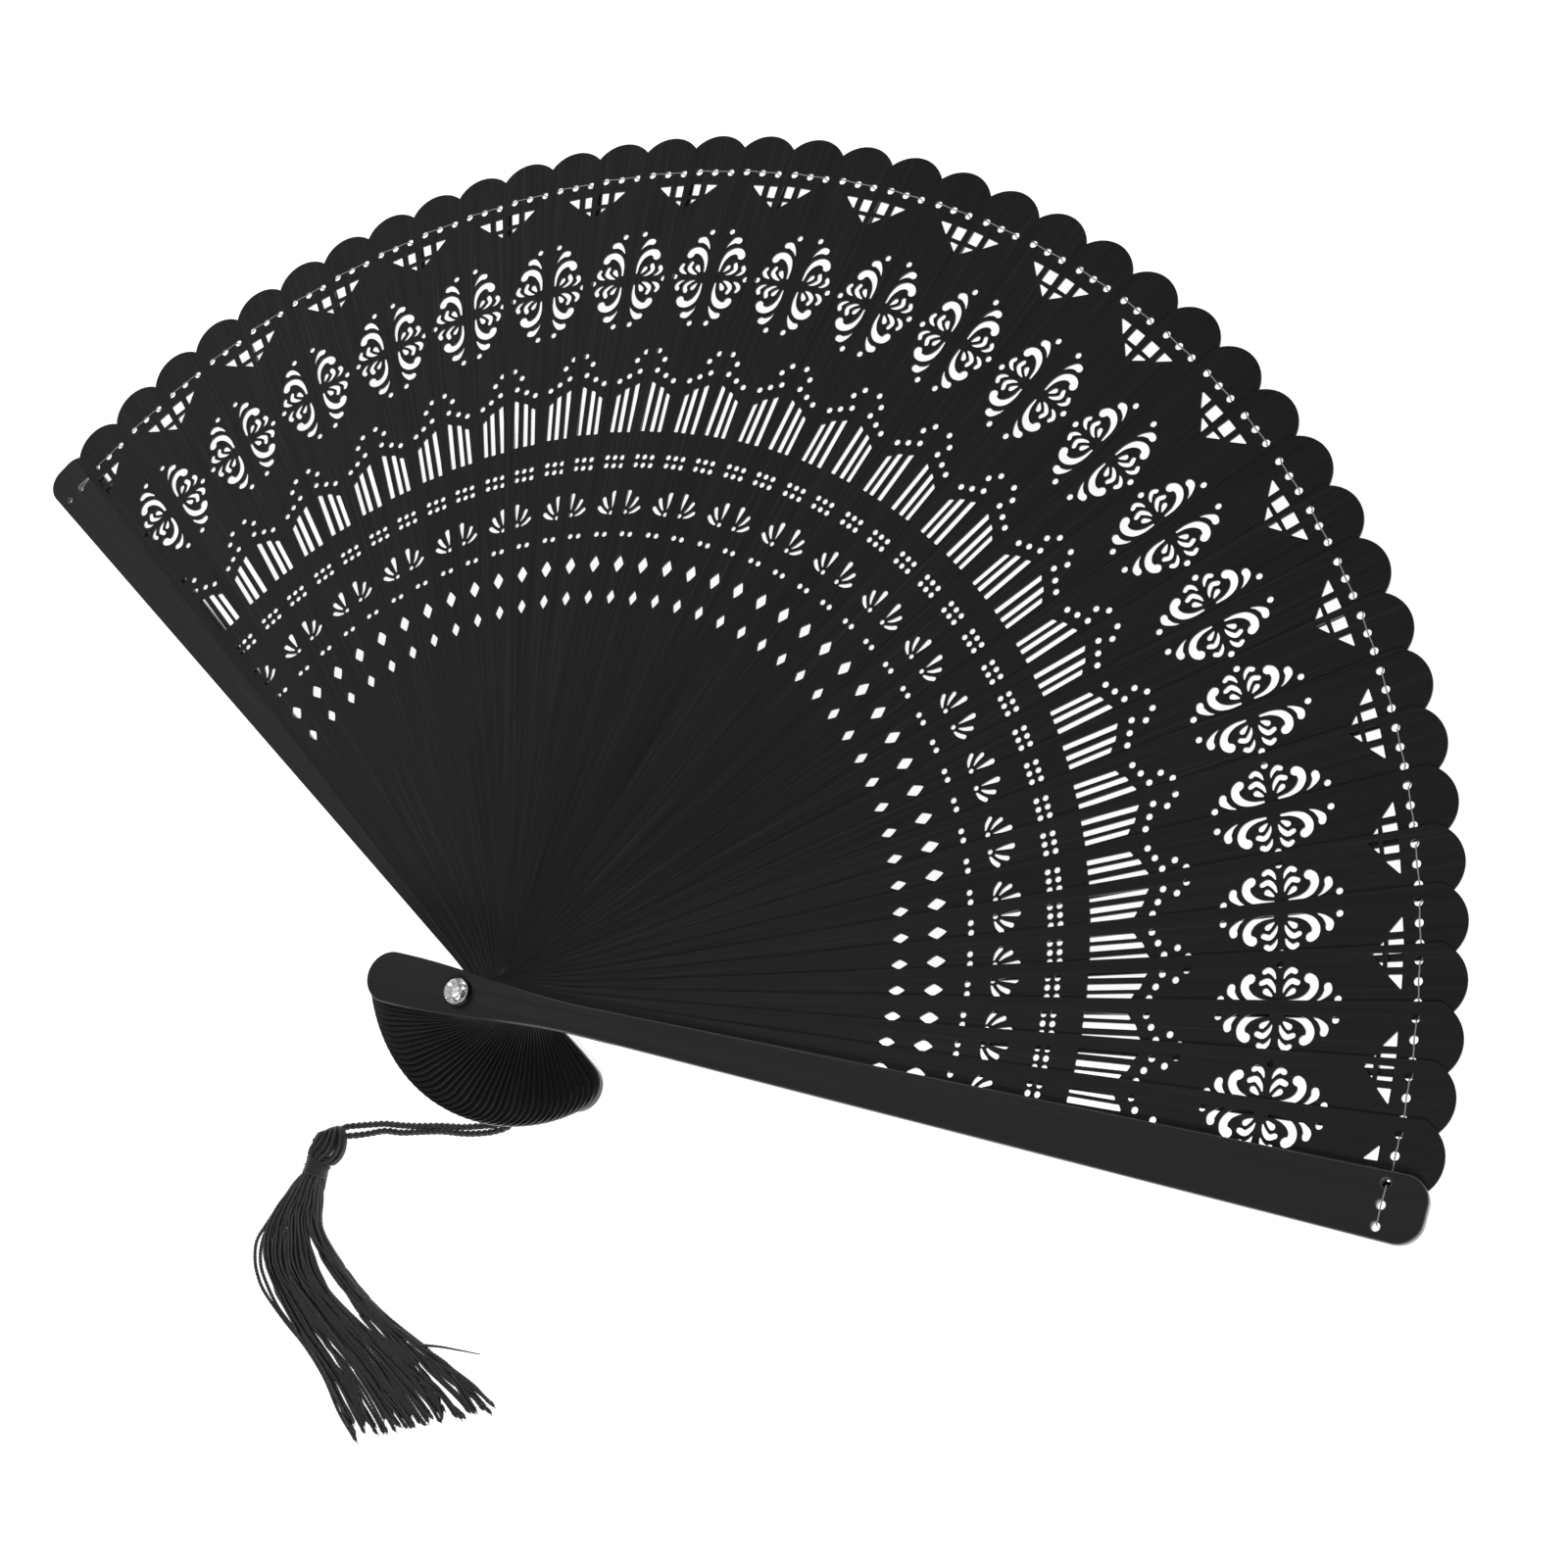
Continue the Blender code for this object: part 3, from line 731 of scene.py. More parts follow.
def make_bezel(metal):
    """A cup with a rounded, slightly inturned lip and a bead at its foot."""
    low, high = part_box("rivet_front_bezel")
    outer = (high.x - low.x) / 2
    inner = outer - 0.3 * MM
    bead = [(0.0, 0.12), (0.0, 0.3), (-0.1, 0.4)]
    lip = [(-0.08, -0.2), (-0.16, -0.05), (-0.28, 0.0), (-0.34, -0.06), (-0.3, -0.2)]
    profile = [(0.0, low.z), (outer - 0.15 * MM, low.z)]
    profile += [(outer + x * MM, low.z + z * MM) for x, z in bead]
    profile += [(outer + x * MM, high.z + z * MM) for x, z in lip]
    profile += [(inner, low.z + 0.35 * MM), (0.0, low.z + 0.35 * MM)]
    mesh = turned("crystal_bezel", profile, 64, 50.0)
    add_metal("crystal_bezel", mesh, metal, "rivet_front_bezel")


def hull_mesh(name, rows):
    """The convex hull of rings of points: (radius, z, sides, turn)."""
    shape = bmesh.new()
    for row in rows:
        for point in ring(*row):
            shape.verts.new(point)
    bmesh.ops.convex_hull(shape, input=shape.verts)
    flat = radians(1.0)
    bmesh.ops.dissolve_limit(shape, angle_limit=flat, verts=shape.verts, edges=shape.edges)
    bmesh.ops.recalc_face_normals(shape, faces=shape.faces)
    mesh = bpy.data.meshes.new(name)
    shape.to_mesh(mesh)
    shape.free()
    return mesh


def make_crystal(glass, foil):
    """A brilliant with table, star, crown and back facets and a girdle, set over silver foil."""
    low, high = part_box("crystal_front")
    height = high.z - low.z
    girdle = low.z + 0.42 * height
    culet = low.z + 0.1 * MM
    crown = [
        (TABLE_RADIUS, high.z, 8, 0.0),
        (STAR_RADIUS, low.z + 0.80 * height, 8, 0.5),
        (CRYSTAL_RADIUS, girdle + 0.06 * MM, 16, 0.5),
        (CRYSTAL_RADIUS, girdle - 0.06 * MM, 16, 0.5),
        (CULET_RADIUS, culet, 8, 0.5),
    ]
    cut = hull_mesh("crystal_glass", crown)
    add_object("crystal_glass", cut, ROOT_BODY, glass, ["crystal_front"])
    # The foil is a cup with a rim under the girdle and a facetted hollow.
    rim, outer = girdle - 0.16 * MM, CRYSTAL_RADIUS + 0.05 * MM
    rows = [
        (outer, low.z - 0.06 * MM, 0.5),
        (outer, rim, 0.5),
        (CRYSTAL_RADIUS - 0.1 * MM, rim, 0.5),
        (1.75 * MM, (girdle + culet) / 2 - 0.22 * MM, 0.0),
        (CULET_RADIUS - 0.1 * MM, culet - 0.04 * MM, 0.5),
    ]
    vertices = [point for radius, z, turn in rows for point in ring(radius, z, FOIL_SIDES, turn)]
    faces = ring_faces(len(rows), FOIL_SIDES)
    mesh = plain_mesh("crystal_foil", vertices, faces, triangles=True)
    add_object("crystal_foil", mesh, ROOT_BODY, foil)


# ---- the cord ----

CORD_DIAMETER = 1.25 * MM
CORD_PITCH = 2.8 * MM
HITCH_PITCH = 2.4 * MM
# Each strand's route in millimetres, as the CAD model has it.
INNER_STRAND_ROUTE = (
    (0.0, -2.45, 1.5), (0.8, -5.2, 1.48), (1.85, -9.1, 0.9), (3.25, -14.4, 0.7),
    (4.2, -17.9, 0.7), (3.75, -19.9, 0.7), (2.5, -21.6, 0.7), (0.75, -22.65, 0.7),
    (-4.1, -25.6, 0.7), (-9.4, -28.15, 0.7), (-14.6, -30.95, 0.7), (-18.25, -32.7, 0.7),
    (-21.95, -34.3, 0.7), (-25.35, -36.35, 0.7), (-28.6, -38.45, 0.95), (-30.15, -39.8, 1.65),
)
OUTER_STRAND_ROUTE = (
    (1.35, -2.05, 1.5), (2.2, -4.85, 1.48), (3.3, -8.75, 0.9), (4.95, -13.9, 0.7),
    (6.2, -18.0, 0.7), (5.8, -19.8, 0.7), (4.7, -21.45, 0.7), (2.6, -23.3, 0.7),
    (0.15, -24.95, 0.7), (-3.25, -26.8, 0.7), (-8.75, -29.2, 0.7), (-13.85, -32.1, 0.7),
    (-17.25, -34.05, 0.7), (-21.05, -35.65, 0.7), (-24.2, -38.0, 0.7), (-26.1, -39.45, 0.95),
    (-27.8, -40.75, 1.65),
)


def twisted_cord(line, diameter, pitch):
    """Two plies wound round each other along a line."""
    side, up = line_frames(line)
    along = lengths_along(line)
    ply = diameter * 0.37
    offset = diameter * 0.25
    parts = []
    for half in (0.0, pi):
        angle = half + tau * along / pitch
        centre = line + (side * np.cos(angle)[:, None] + up * np.sin(angle)[:, None]) * offset
        parts.append(tube(centre, ply, sides=10, plies=6, pitch=-pitch * 0.6, crease=0.10))
    vertices, faces, uvs = gather(parts)
    return [(v[0], v[1], max(v[2], 0.02 * MM)) for v in vertices], faces, uvs


def add_yarn(name, shape, yarn, node):
    """A piece of the cord or tassel in place of its CAD node."""
    return add_object(name, build_mesh(name, *shape), ROOT_BODY, yarn, [node])


def make_cord(yarn):
    for name, route in (("inner", INNER_STRAND_ROUTE), ("outer", OUTER_STRAND_ROUTE)):
        line = smooth_line(in_metres(route), 0.22 * MM)
        shape = twisted_cord(line, CORD_DIAMETER, CORD_PITCH)
        piece = add_yarn(f"cord_{name}", shape, yarn, f"tassel_cord_{name}")


def make_hitch(yarn):
    """The cord's loop round the shank."""
    low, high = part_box("tassel_hitch")
    radius = (high.x - low.x) / 2 - CORD_DIAMETER * 0.45
    loop = ring(radius, (low.z + high.z) / 2, 72)
    shape = twisted_cord(np.array(loop + loop[:1]), CORD_DIAMETER * 0.9, HITCH_PITCH)
    add_yarn("cord_hitch", shape, yarn, "tassel_hitch")


# ---- the tassel ----

# Cross-sections of the head and binding: centre x, y, z, half width, half height, in millimetres.
HEAD_SECTIONS = (
    (-32.1, -41.75, 2.05, 1.9, 1.2),
    (-31.45, -42.5, 2.35, 3.45, 2.05),
    (-30.45, -45.3, 2.6, 4.45, 2.45),
    (-30.85, -47.4, 2.5, 3.65, 2.4),
    (-30.75, -48.4, 2.45, 3.2, 2.3),
)
BINDING_SECTIONS = (
    (-30.7, -48.9, 2.45, 3.1, 2.3),
    (-30.45, -50.65, 2.4, 2.85, 2.25),
    (-30.05, -52.4, 2.35, 2.75, 2.2),
)
# The skirt's left and right edges and its half height, in millimetres, from inside the binding.
SKIRT_EDGES = (
    ((-32.2, -50.9), (-28.3, -50.5), 1.87),
    ((-32.3, -52.3), (-28.0, -51.8), 1.98),
    ((-32.6, -53.6), (-27.55, -52.8), 2.05),
    ((-33.5, -57.1), (-25.6, -56.7), 1.9),
    ((-34.6, -62.7), (-22.2, -60.8), 1.7),
    ((-34.0, -67.8), (-15.25, -64.1), 1.5),
    ((-30.75, -73.1), (-7.55, -66.7), 1.3),
    ((-23.65, -77.9), (1.75, -68.5), 1.15),
    ((-14.8, -82.0), (11.8, -69.0), 1.05),
    ((-5.2, -85.5), (22.8, -69.7), 1.0),
    ((4.05, -89.7), (32.8, -70.3), 0.95),
    ((12.25, -93.5), (39.45, -71.3), 0.9),
)
THREAD_CREASE = 0.24
# The head's two layers: how many threads, at what share of the sections' radius.
HEAD_LAYERS = ((19, 0.90), (12, 0.62))
HEAD_THREAD_RADIUS = 0.46 * MM
BINDING_TURNS = 7
BINDING_THREAD_RADIUS = 0.29 * MM
TASSEL_THREADS = 46
TASSEL_THREAD_RADIUS = 0.42 * MM
TASSEL_THREAD_PITCH = 1.7 * MM
SKIRT_STEP = 0.8 * MM
# Most threads lie to the left: this share of them, over this share of the width, which is -1 to 1.
LEFT_THREADS = 0.76
LEFT_WIDTH = 1.45
# The threads right of this part from the rest here, as shares of the width and the length.
PARTING_START = 0.38
PARTING_PLACE = 0.34
PARTING_LENGTH = 0.13
SETTLING_ROUNDS = 220
SETTLING_PULL = 0.06
SETTLING_FALL = 0.02 * MM
SETTLING_PUSH = 0.25
SETTLING_SMOOTHNESS = 0.30


def section_axes(rows):
    """Level unit vectors across a body of sections."""
    run = np.gradient(rows[:, :3], axis=0)
    across = np.stack([-run[:, 1], run[:, 0], np.zeros(len(run))], axis=1)
    across /= np.linalg.norm(across, axis=1)[:, None]
    return across


def on_sections(rows, angle, share):
    """A line along the body of sections at an angle round it and a share of its radius."""
    line = rows[:, :3] + (rows[:, 3] * share * np.cos(angle))[:, None] * section_axes(rows)
    line[:, 2] += rows[:, 4] * share * np.sin(angle)
    return line


def core(rows, share, sides):
    """The closed body inside a layer of threads, at a share of the sections' radius."""
    across, above = rows[:, 3:4] * share, rows[:, 4:5] * share
    up = np.array([[0.0, 0.0, 1.0]])
    vertices = rings_about(rows[:, :3], section_axes(rows), up, across, above, sides)
    return vertices, ring_faces(len(rows), sides), [(0.0, 0.0)] * len(vertices)


def make_head(yarn):
    """Threads folded over the cord's ends: two uneven layers round a core."""
    under_binding = [(x, y, z, wide * 0.80, high * 0.80) for x, y, z, wide, high in BINDING_SECTIONS]
    rows = smooth_line(in_metres([*HEAD_SECTIONS, *under_binding[:2]]), 0.35 * MM)
    rng = np.random.default_rng(11)
    radius = HEAD_THREAD_RADIUS
    parts = []
    for layer, (count, share) in enumerate(HEAD_LAYERS):
        for k in range(count):
            angle = tau * (k + 0.5 * layer) / count + rng.uniform(-0.12, 0.12)
            lean = np.linspace(0.0, rng.uniform(0.10, 0.45), len(rows))
            swell = share + rng.uniform(-0.05, 0.08) * np.sin(np.linspace(0, pi, len(rows)))
            line = on_sections(rows, angle + lean, swell)
            fold = rows[0, :3] + (line[0] - rows[0, :3]) * 0.35
            lead = np.array([fold + (rows[0, :3] - rows[3, :3]) * 0.10])
            line = np.concatenate([lead, line])
            line[:, 2] = np.maximum(line[:, 2], radius * 1.05)
            parts.append(tube(line, radius, 8, 2, 1.6 * MM, THREAD_CREASE, phase=k * 1.3))
    parts.append(core(rows, 0.72, 14))
    # The cord's ends run on under the threads.
    for route in (INNER_STRAND_ROUTE, OUTER_STRAND_ROUTE):
        line = np.linspace(np.array(route[-1]) * MM, rows[4, :3], 12)
        parts.append(twisted_cord(line, CORD_DIAMETER, CORD_PITCH))
    add_yarn("tassel_head_threads", gather(parts), yarn, "tassel_head")


def make_binding(yarn):
    """A thread wound round the bundle, turn beside turn, over a core."""
    rows = smooth_line(in_metres(BINDING_SECTIONS), 0.1 * MM)
    radius = BINDING_THREAD_RADIUS
    share = np.linspace(0.0, 1.0, BINDING_TURNS * 28)
    at, index = share * (len(rows) - 1), np.arange(len(rows))
    columns = np.concatenate([rows, section_axes(rows)], axis=1).T
    flow = np.stack([np.interp(at, index, column) for column in columns], axis=1)
    angle = tau * BINDING_TURNS * share
    wave = 1.0 + 0.03 * np.sin(angle * 0.37)
    line = flow[:, :3] + flow[:, 5:] * ((flow[:, 3] - radius * 0.6) * wave * np.cos(angle))[:, None]
    line[:, 2] += (flow[:, 4] - radius * 0.6) * wave * np.sin(angle)
    line[:, 2] = np.maximum(line[:, 2], radius)
    parts = [tube(line, radius, 8, plies=2, pitch=1.1 * MM, crease=0.18), core(rows, 0.90, 24)]
    add_yarn("tassel_binding_thread", gather(parts), yarn, "tassel_binding")


def skirt_stations():
    """Left edge, right edge and half height along the skirt, from the binding to the tips."""
    knots = []
    for left, right, height in SKIRT_EDGES:
        row = [value * MM for value in (*left, *right, height)]
        knots.append(np.array([(row[0] + row[2]) / 2, (row[1] + row[3]) / 2, 0.0, *row]))
    return smooth_line(knots, SKIRT_STEP)[:, 3:]


def settle_threads(targets, width, ceiling, radius):
    """Lets threads fall and push each other apart, station by station, then smooths them.

    Both places are in the section's plane: x across from its middle, z up from the floor."""
    stations, count = targets.shape
    # The binding holds the threads in, and lets them go along the skirt.
    reach = width / 2 - radius + np.minimum(np.arange(stations) * 0.06, 1.5) * MM
    x = targets.copy()
    rng = np.random.default_rng(5)
    z = radius + rng.uniform(0.0, 1.0, count)[None, :] * (2 * ceiling[:, None] - 2 * radius)
    for _ in range(SETTLING_ROUNDS):
        x += (targets - x) * SETTLING_PULL
        z -= SETTLING_FALL
        for _ in range(2):
            dx = x[:, :, None] - x[:, None, :]
            dz = z[:, :, None] - z[:, None, :]
            gap = np.sqrt(dx * dx + dz * dz) + 1e-9
            push = np.clip(2.0 * radius - gap, 0.0, None) * SETTLING_PUSH
            np.einsum("kii->ki", push)[...] = 0.0
            x += (push * dx / gap).sum(axis=2)
            z += (push * dz / gap).sum(axis=2)
        x = np.clip(x, -reach[:, None], reach[:, None])
        z = np.clip(z, radius, np.maximum(2 * ceiling[:, None] - radius, radius))
        for grid in (x, z):
            grid[1:-1] += SETTLING_SMOOTHNESS * ((grid[:-2] + grid[2:]) / 2 - grid[1:-1])
    return x, z


# Two loose threads bow out at the skirt's left: points in millimetres.
LOOSE_THREADS = (
    (
        (-31.8, -52.3, 2.6), (-33.8, -55.5, 1.6), (-34.9, -60.3, 0.6), (-35.5, -67.0, 0.4),
        (-35.5, -71.3, 0.4), (-33.5, -74.8, 0.4), (-30.8, -77.3, 0.4), (-26.8, -79.5, 0.5),
        (-18.5, -82.0, 0.6), (-10.5, -84.0, 0.5), (-2.5, -87.0, 0.4), (5.3, -91.2, 0.4),
        (12.6, -94.0, 0.4),
    ),
    (
        (-31.4, -52.3, 2.9), (-33.3, -56.0, 1.8), (-34.5, -61.0, 0.7), (-34.9, -66.5, 0.4),
        (-34.2, -70.6, 0.4), (-32.2, -74.2, 0.4), (-29.0, -76.9, 0.4), (-22.0, -80.4, 0.5),
        (-14.3, -82.6, 0.6), (-5.0, -85.8, 0.5), (4.6, -89.9, 0.4), (10.5, -92.7, 0.4),
    ),
)
THREAD_END_SWELL = (0.95, 1.12, 1.22, 1.15, 0.95, 0.7)
STRAY_FIBRE = ((15.0, -69.3, 1.0), (18.5, -67.6, 0.9), (22.6, -66.0, 0.6), (28.0, -64.0, 0.3))


def thread_shape(line, radius, phase, rng):
    """A two-ply thread with a soft, knotted end and a few frayed fibres."""
    radii = np.full(len(line), radius)
    radii[-len(THREAD_END_SWELL) :] *= THREAD_END_SWELL
    parts = [tube(line, radii, 8, 2, TASSEL_THREAD_PITCH, THREAD_CREASE, phase)]
    tip, run = line[-1], line[-1] - line[-4]
    run = run / np.linalg.norm(run)
    for _ in range(3):
        spread = run + rng.normal(0.0, 0.28, 3)
        spread[2] = abs(spread[2]) * 0.3
        spread /= np.linalg.norm(spread)
        reach = rng.uniform(0.7, 1.7) * MM
        base = tip - run * 0.5 * MM
        fibre = np.array([base, base + spread * reach * 0.6, base + spread * reach])
        fibre[:, 2] = np.maximum(fibre[:, 2], 0.08 * MM)
        parts.append(tube(fibre, (0.09 * MM, 0.07 * MM, 0.03 * MM), 5))
    return gather(parts)


def thread_targets(along, rng):
    """Where each thread would lie across the skirt, from -1 to 1, at each station."""
    even = np.linspace(0.0, 1.0, TASSEL_THREADS)
    on_left = -1.0 + LEFT_WIDTH * even / LEFT_THREADS
    on_right = LEFT_WIDTH - 1.0 + (2.0 - LEFT_WIDTH) * (even - LEFT_THREADS) / (1.0 - LEFT_THREADS)
    spread = np.where(even < LEFT_THREADS, on_left, on_right)
    spread = np.clip(spread + rng.uniform(-0.08, 0.08, TASSEL_THREADS), -1.0, 1.0)
    # A group on the right parts from the rest below the binding and comes back to it.
    parting = np.exp(-(((along - PARTING_PLACE) / PARTING_LENGTH) ** 2))
    targets = []
    for start in spread:
        wander, part = (0.12, 0.16) if start > PARTING_START else (0.05, -0.14)
        drift = sum(
            rng.normal(0.0, wander) / n * np.sin(pi * n * along + rng.uniform(0, tau))
            for n in (1, 2, 3, 4)
        )
        across = start + drift * np.minimum(along * 3.0, 1.0)
        targets.append(np.clip(across + part * parting, -1.0, 1.0))
    return targets


def make_skirt(yarn):
    """Threads settled on the floor between the skirt's edges, and a few that stray from them."""
    stations = skirt_stations()
    left, right, height = stations[:, 0:2], stations[:, 2:4], stations[:, 4]
    middle = (left + right) / 2
    across = right - left
    width = np.linalg.norm(across, axis=1)
    across /= width[:, None]
    rng = np.random.default_rng(3)
    radius = TASSEL_THREAD_RADIUS
    targets = thread_targets(np.linspace(0.0, 1.0, len(stations)), rng)
    targets = np.stack([share * (width / 2 - radius) for share in targets], axis=1)
    x, z = settle_threads(targets, width, height, radius)
    parts = []
    for k in range(TASSEL_THREADS):
        level = middle + across * x[:, k : k + 1]
        line = np.concatenate([level, z[:, k : k + 1]], axis=1)
        kept = len(line) - int(rng.integers(0, 5))
        line = smooth_line(line[:kept], 0.3 * MM)
        parts.append(thread_shape(line, radius, rng.uniform(0, 6), rng))
    for route in LOOSE_THREADS:
        line = smooth_line(in_metres(route), 0.3 * MM)
        parts.append(thread_shape(line, radius, rng.uniform(0, 6), rng))
    fibre = smooth_line(in_metres(STRAY_FIBRE), 0.5 * MM)
    parts.append(tube(fibre, np.linspace(0.34, 0.12, len(fibre)) * MM, 6))
    add_yarn("tassel_threads", gather(parts), yarn, "tassel_skirt")


# ---- materials ----


def new_material(name):
    material = bpy.data.materials.new(name)
    material.use_nodes = True
    tree = material.node_tree
    return material, tree, tree.nodes["Principled BSDF"]


def colour(value):
    """A colour with its alpha; a grey may be one number."""
    return (value, value, value, 1.0) if isinstance(value, float) else (*value, 1.0)


def feed(tree, socket, value):
    """Links another node's output to a socket, or sets it to a number or colour."""
    if isinstance(value, bpy.types.NodeSocket):
        tree.links.new(value, socket)
    else:
        socket.default_value = colour(value) if socket.type == "RGBA" else value


def set_inputs(tree, node, **values):
    """Feeds a node's inputs, with underscores for the spaces in their names."""
    for name, value in values.items():
        feed(tree, node.inputs[name.replace("_", " ")], value)


def add_node(tree, kind, inputs=None, **settings):
    node = tree.nodes.new(kind)
    for name, value in settings.items():
        setattr(node, name, value)
    set_inputs(tree, node, **(inputs or {}))
    return node


def along_uv(tree):
    return add_node(tree, "ShaderNodeUVMap", uv_map="along").outputs["UV"]


def streaks(tree, vector, scale, detail=3.0, roughness=0.6):
    """Noise drawn out along the piece: scale is how fine it is along and across it."""
    stretch = add_node(tree, "ShaderNodeMapping", {"Vector": vector, "Scale": (*scale, 1.0)})
    inputs = {"Vector": stretch.outputs["Vector"], "Scale": 1.0}
    inputs |= {"Detail": detail, "Roughness": roughness}
    return add_node(tree, "ShaderNodeTexNoise", inputs).outputs["Fac"]


def mottle(tree, scale):
    """Noise through the piece's own space."""
    place_at = tree.nodes.new("ShaderNodeTexCoord").outputs["Object"]
    inputs = {"Vector": place_at, "Scale": scale, "Detail": 3.0}
    return add_node(tree, "ShaderNodeTexNoise", inputs).outputs["Fac"]


def ramp(tree, value, *stops):
    """A colour ramp from (place, colour) stops."""
    node = add_node(tree, "ShaderNodeValToRGB", {"Fac": value})
    elements = node.color_ramp.elements
    while len(elements) < len(stops):
        elements.new(0.5)
    for element, (place_at, stop) in zip(elements, stops):
        element.position = place_at
        element.color = colour(stop)
    return node.outputs["Color"]


def mix(tree, factor, first, second):
    node = add_node(tree, "ShaderNodeMix", data_type="RGBA")
    for number, value in ((0, factor), (6, first), (7, second)):
        feed(tree, node.inputs[number], value)
    return node.outputs[2]


def maths(tree, operation, first, second):
    node = add_node(tree, "ShaderNodeMath", operation=operation)
    feed(tree, node.inputs[0], first)
    feed(tree, node.inputs[1], second)
    return node.outputs[0]


def add_bump(tree, shader, height, strength, distance):
    inputs = {"Height": height, "Strength": strength, "Distance": distance}
    set_inputs(tree, shader, Normal=add_node(tree, "ShaderNodeBump", inputs).outputs["Normal"])


def attribute(tree, name, kind):
    node = add_node(tree, "ShaderNodeAttribute", attribute_type=kind, attribute_name=name)
    return node.outputs["Fac"]


def black_wood():
    """Black-stained wood: fine grain along the leaf, faint flecks, paler where edges are cut, with painted sheen
    on the end leaves, a painted highlight on the guards' sides and a painted shadow on the sides of the heads by
    the rivet.
    """
    material, tree, shader = new_material("black_wood")
    uv = along_uv(tree)
    tone_and_sheen = attribute(tree, "tone_and_sheen", "OBJECT")
    polish_and_highlight = attribute(tree, "polish_and_highlight", "OBJECT")
    # Each stick is cut from another part of the board.
    offset = {"X": maths(tree, "MULTIPLY", tone_and_sheen, 0.37), "Y": maths(tree, "MULTIPLY", tone_and_sheen, 0.11)}
    board = tree.nodes.new("ShaderNodeVectorMath")
    feed(tree, board.inputs[0], uv)
    feed(tree, board.inputs[1], add_node(tree, "ShaderNodeCombineXYZ", offset).outputs["Vector"])
    vector = board.outputs["Vector"]

    grain = streaks(tree, vector, (18.0, 2400.0), detail=4.0)
    broad = streaks(tree, vector, (9.0, 500.0), detail=2.0)
    pores = streaks(tree, vector, (160.0, 5200.0), detail=1.0)
    flecks = streaks(tree, vector, (700.0, 1500.0), detail=2.0)

    tone = ramp(tree, grain, (0.32, 0.0008), (0.58, 0.0032), (0.78, 0.0220))
    tone = mix(tree, ramp(tree, broad, (0.35, 0.0), (0.7, 0.4)), tone, (0.012, 0.012, 0.0124))
    # Lighter by each stick's own tone and painted sheen: the leaves at both ends of the fan are painted lighter
    # for the light that falls on them.
    tone = mix(tree, maths(tree, "MULTIPLY", tone_and_sheen, 0.3), tone, (0.031, 0.031, 0.0315))
    tone = mix(tree, ramp(tree, flecks, (0.73, 0.0), (0.80, 0.55)), tone, 0.05)
    # The cut edges are paler and rubbed smooth, except near the rivet, where the sides keep the faces' dark tone,
    # a painted shadow under the stacked heads, and their gloss is left off.
    edge = attribute(tree, "edge", "GEOMETRY")
    along = add_node(tree, "ShaderNodeSeparateXYZ", {"Vector": uv}).outputs["X"]
    outside_head_shadow = ramp(tree, maths(tree, "ABSOLUTE", along, 0.0), (0.008, 0.05), (0.019, 1.0))
    rubbed_outside_shadow = maths(tree, "MULTIPLY", edge, outside_head_shadow)
    wear_and_highlight = maths(tree, "MULTIPLY", rubbed_outside_shadow, ramp(tree, broad, (0.2, 0.25), (0.8, 0.9)))
    # Where worn the sides turn paler; the front guard's sides are painted palest and the rear guard's a little, a
    # painted highlight for the light on their side walls.
    tone = mix(tree, wear_and_highlight, tone, mix(tree, polish_and_highlight, (0.030, 0.030, 0.031), 0.15))

    # The faces are matt, and the cut sides are rubbed smooth.
    side = maths(tree, "POWER", rubbed_outside_shadow, 2.0)
    rough = mix(tree, side, ramp(tree, grain, (0.25, 0.66), (0.75, 0.50)), 0.22)
    shine = maths(tree, "ADD", maths(tree, "MULTIPLY", polish_and_highlight, 0.4), 0.2)
    gloss = maths(tree, "ADD", maths(tree, "MULTIPLY", side, shine), 0.16)
    set_inputs(tree, shader, Base_Color=tone, Roughness=rough, Specular_IOR_Level=gloss)
    deep = maths(tree, "MULTIPLY", grain, 0.6)
    fine = maths(tree, "MULTIPLY", pores, 0.4)
    add_bump(tree, shader, maths(tree, "ADD", deep, fine), 0.35, 0.00006)
    return material


def dark_metal():
    """Black-plated metal with fine turning marks."""
    material, tree, shader = new_material("dark_metal")
    uv = along_uv(tree)
    marks = streaks(tree, uv, (3.0, 9000.0))
    tone = ramp(tree, streaks(tree, uv, (40.0, 900.0)), (0.35, 0.025), (0.75, 0.11))
    rough = ramp(tree, marks, (0.3, 0.20), (0.7, 0.38))
    set_inputs(tree, shader, Base_Color=tone, Roughness=rough, Metallic=1.0)
    add_bump(tree, shader, marks, 0.2, 0.00003)
    return material


def clear_glass():
    """Cut crystal: clear, with the faintest clouding."""
    material, tree, shader = new_material("clear_crystal")
    cloud = mottle(tree, 900.0)
    tone = ramp(tree, cloud, (0.3, (0.93, 0.95, 0.98)), (0.7, 1.0))
    rough = ramp(tree, cloud, (0.3, 0.0), (0.8, 0.03))
    set_inputs(tree, shader, Base_Color=tone, Roughness=rough, Transmission_Weight=1.0, IOR=1.56)
    return material


def silver_foil():
    """The silvered back of the crystal, slightly mottled, with a faint painted glow for its glint."""
    material, tree, shader = new_material("silver_foil")
    cloud = mottle(tree, 1400.0)
    tone = ramp(tree, cloud, (0.3, 0.86), (0.7, 0.99))
    rough = ramp(tree, cloud, (0.3, 0.05), (0.7, 0.16))
    set_inputs(tree, shader, Base_Color=tone, Roughness=rough, Metallic=0.8)
    # The faint glow is a painted glint: the foil is no lamp, but this stands in for the light it throws back
    # through the crystal.
    set_inputs(tree, shader, Emission_Color=1.0, Emission_Strength=0.22)
    return material


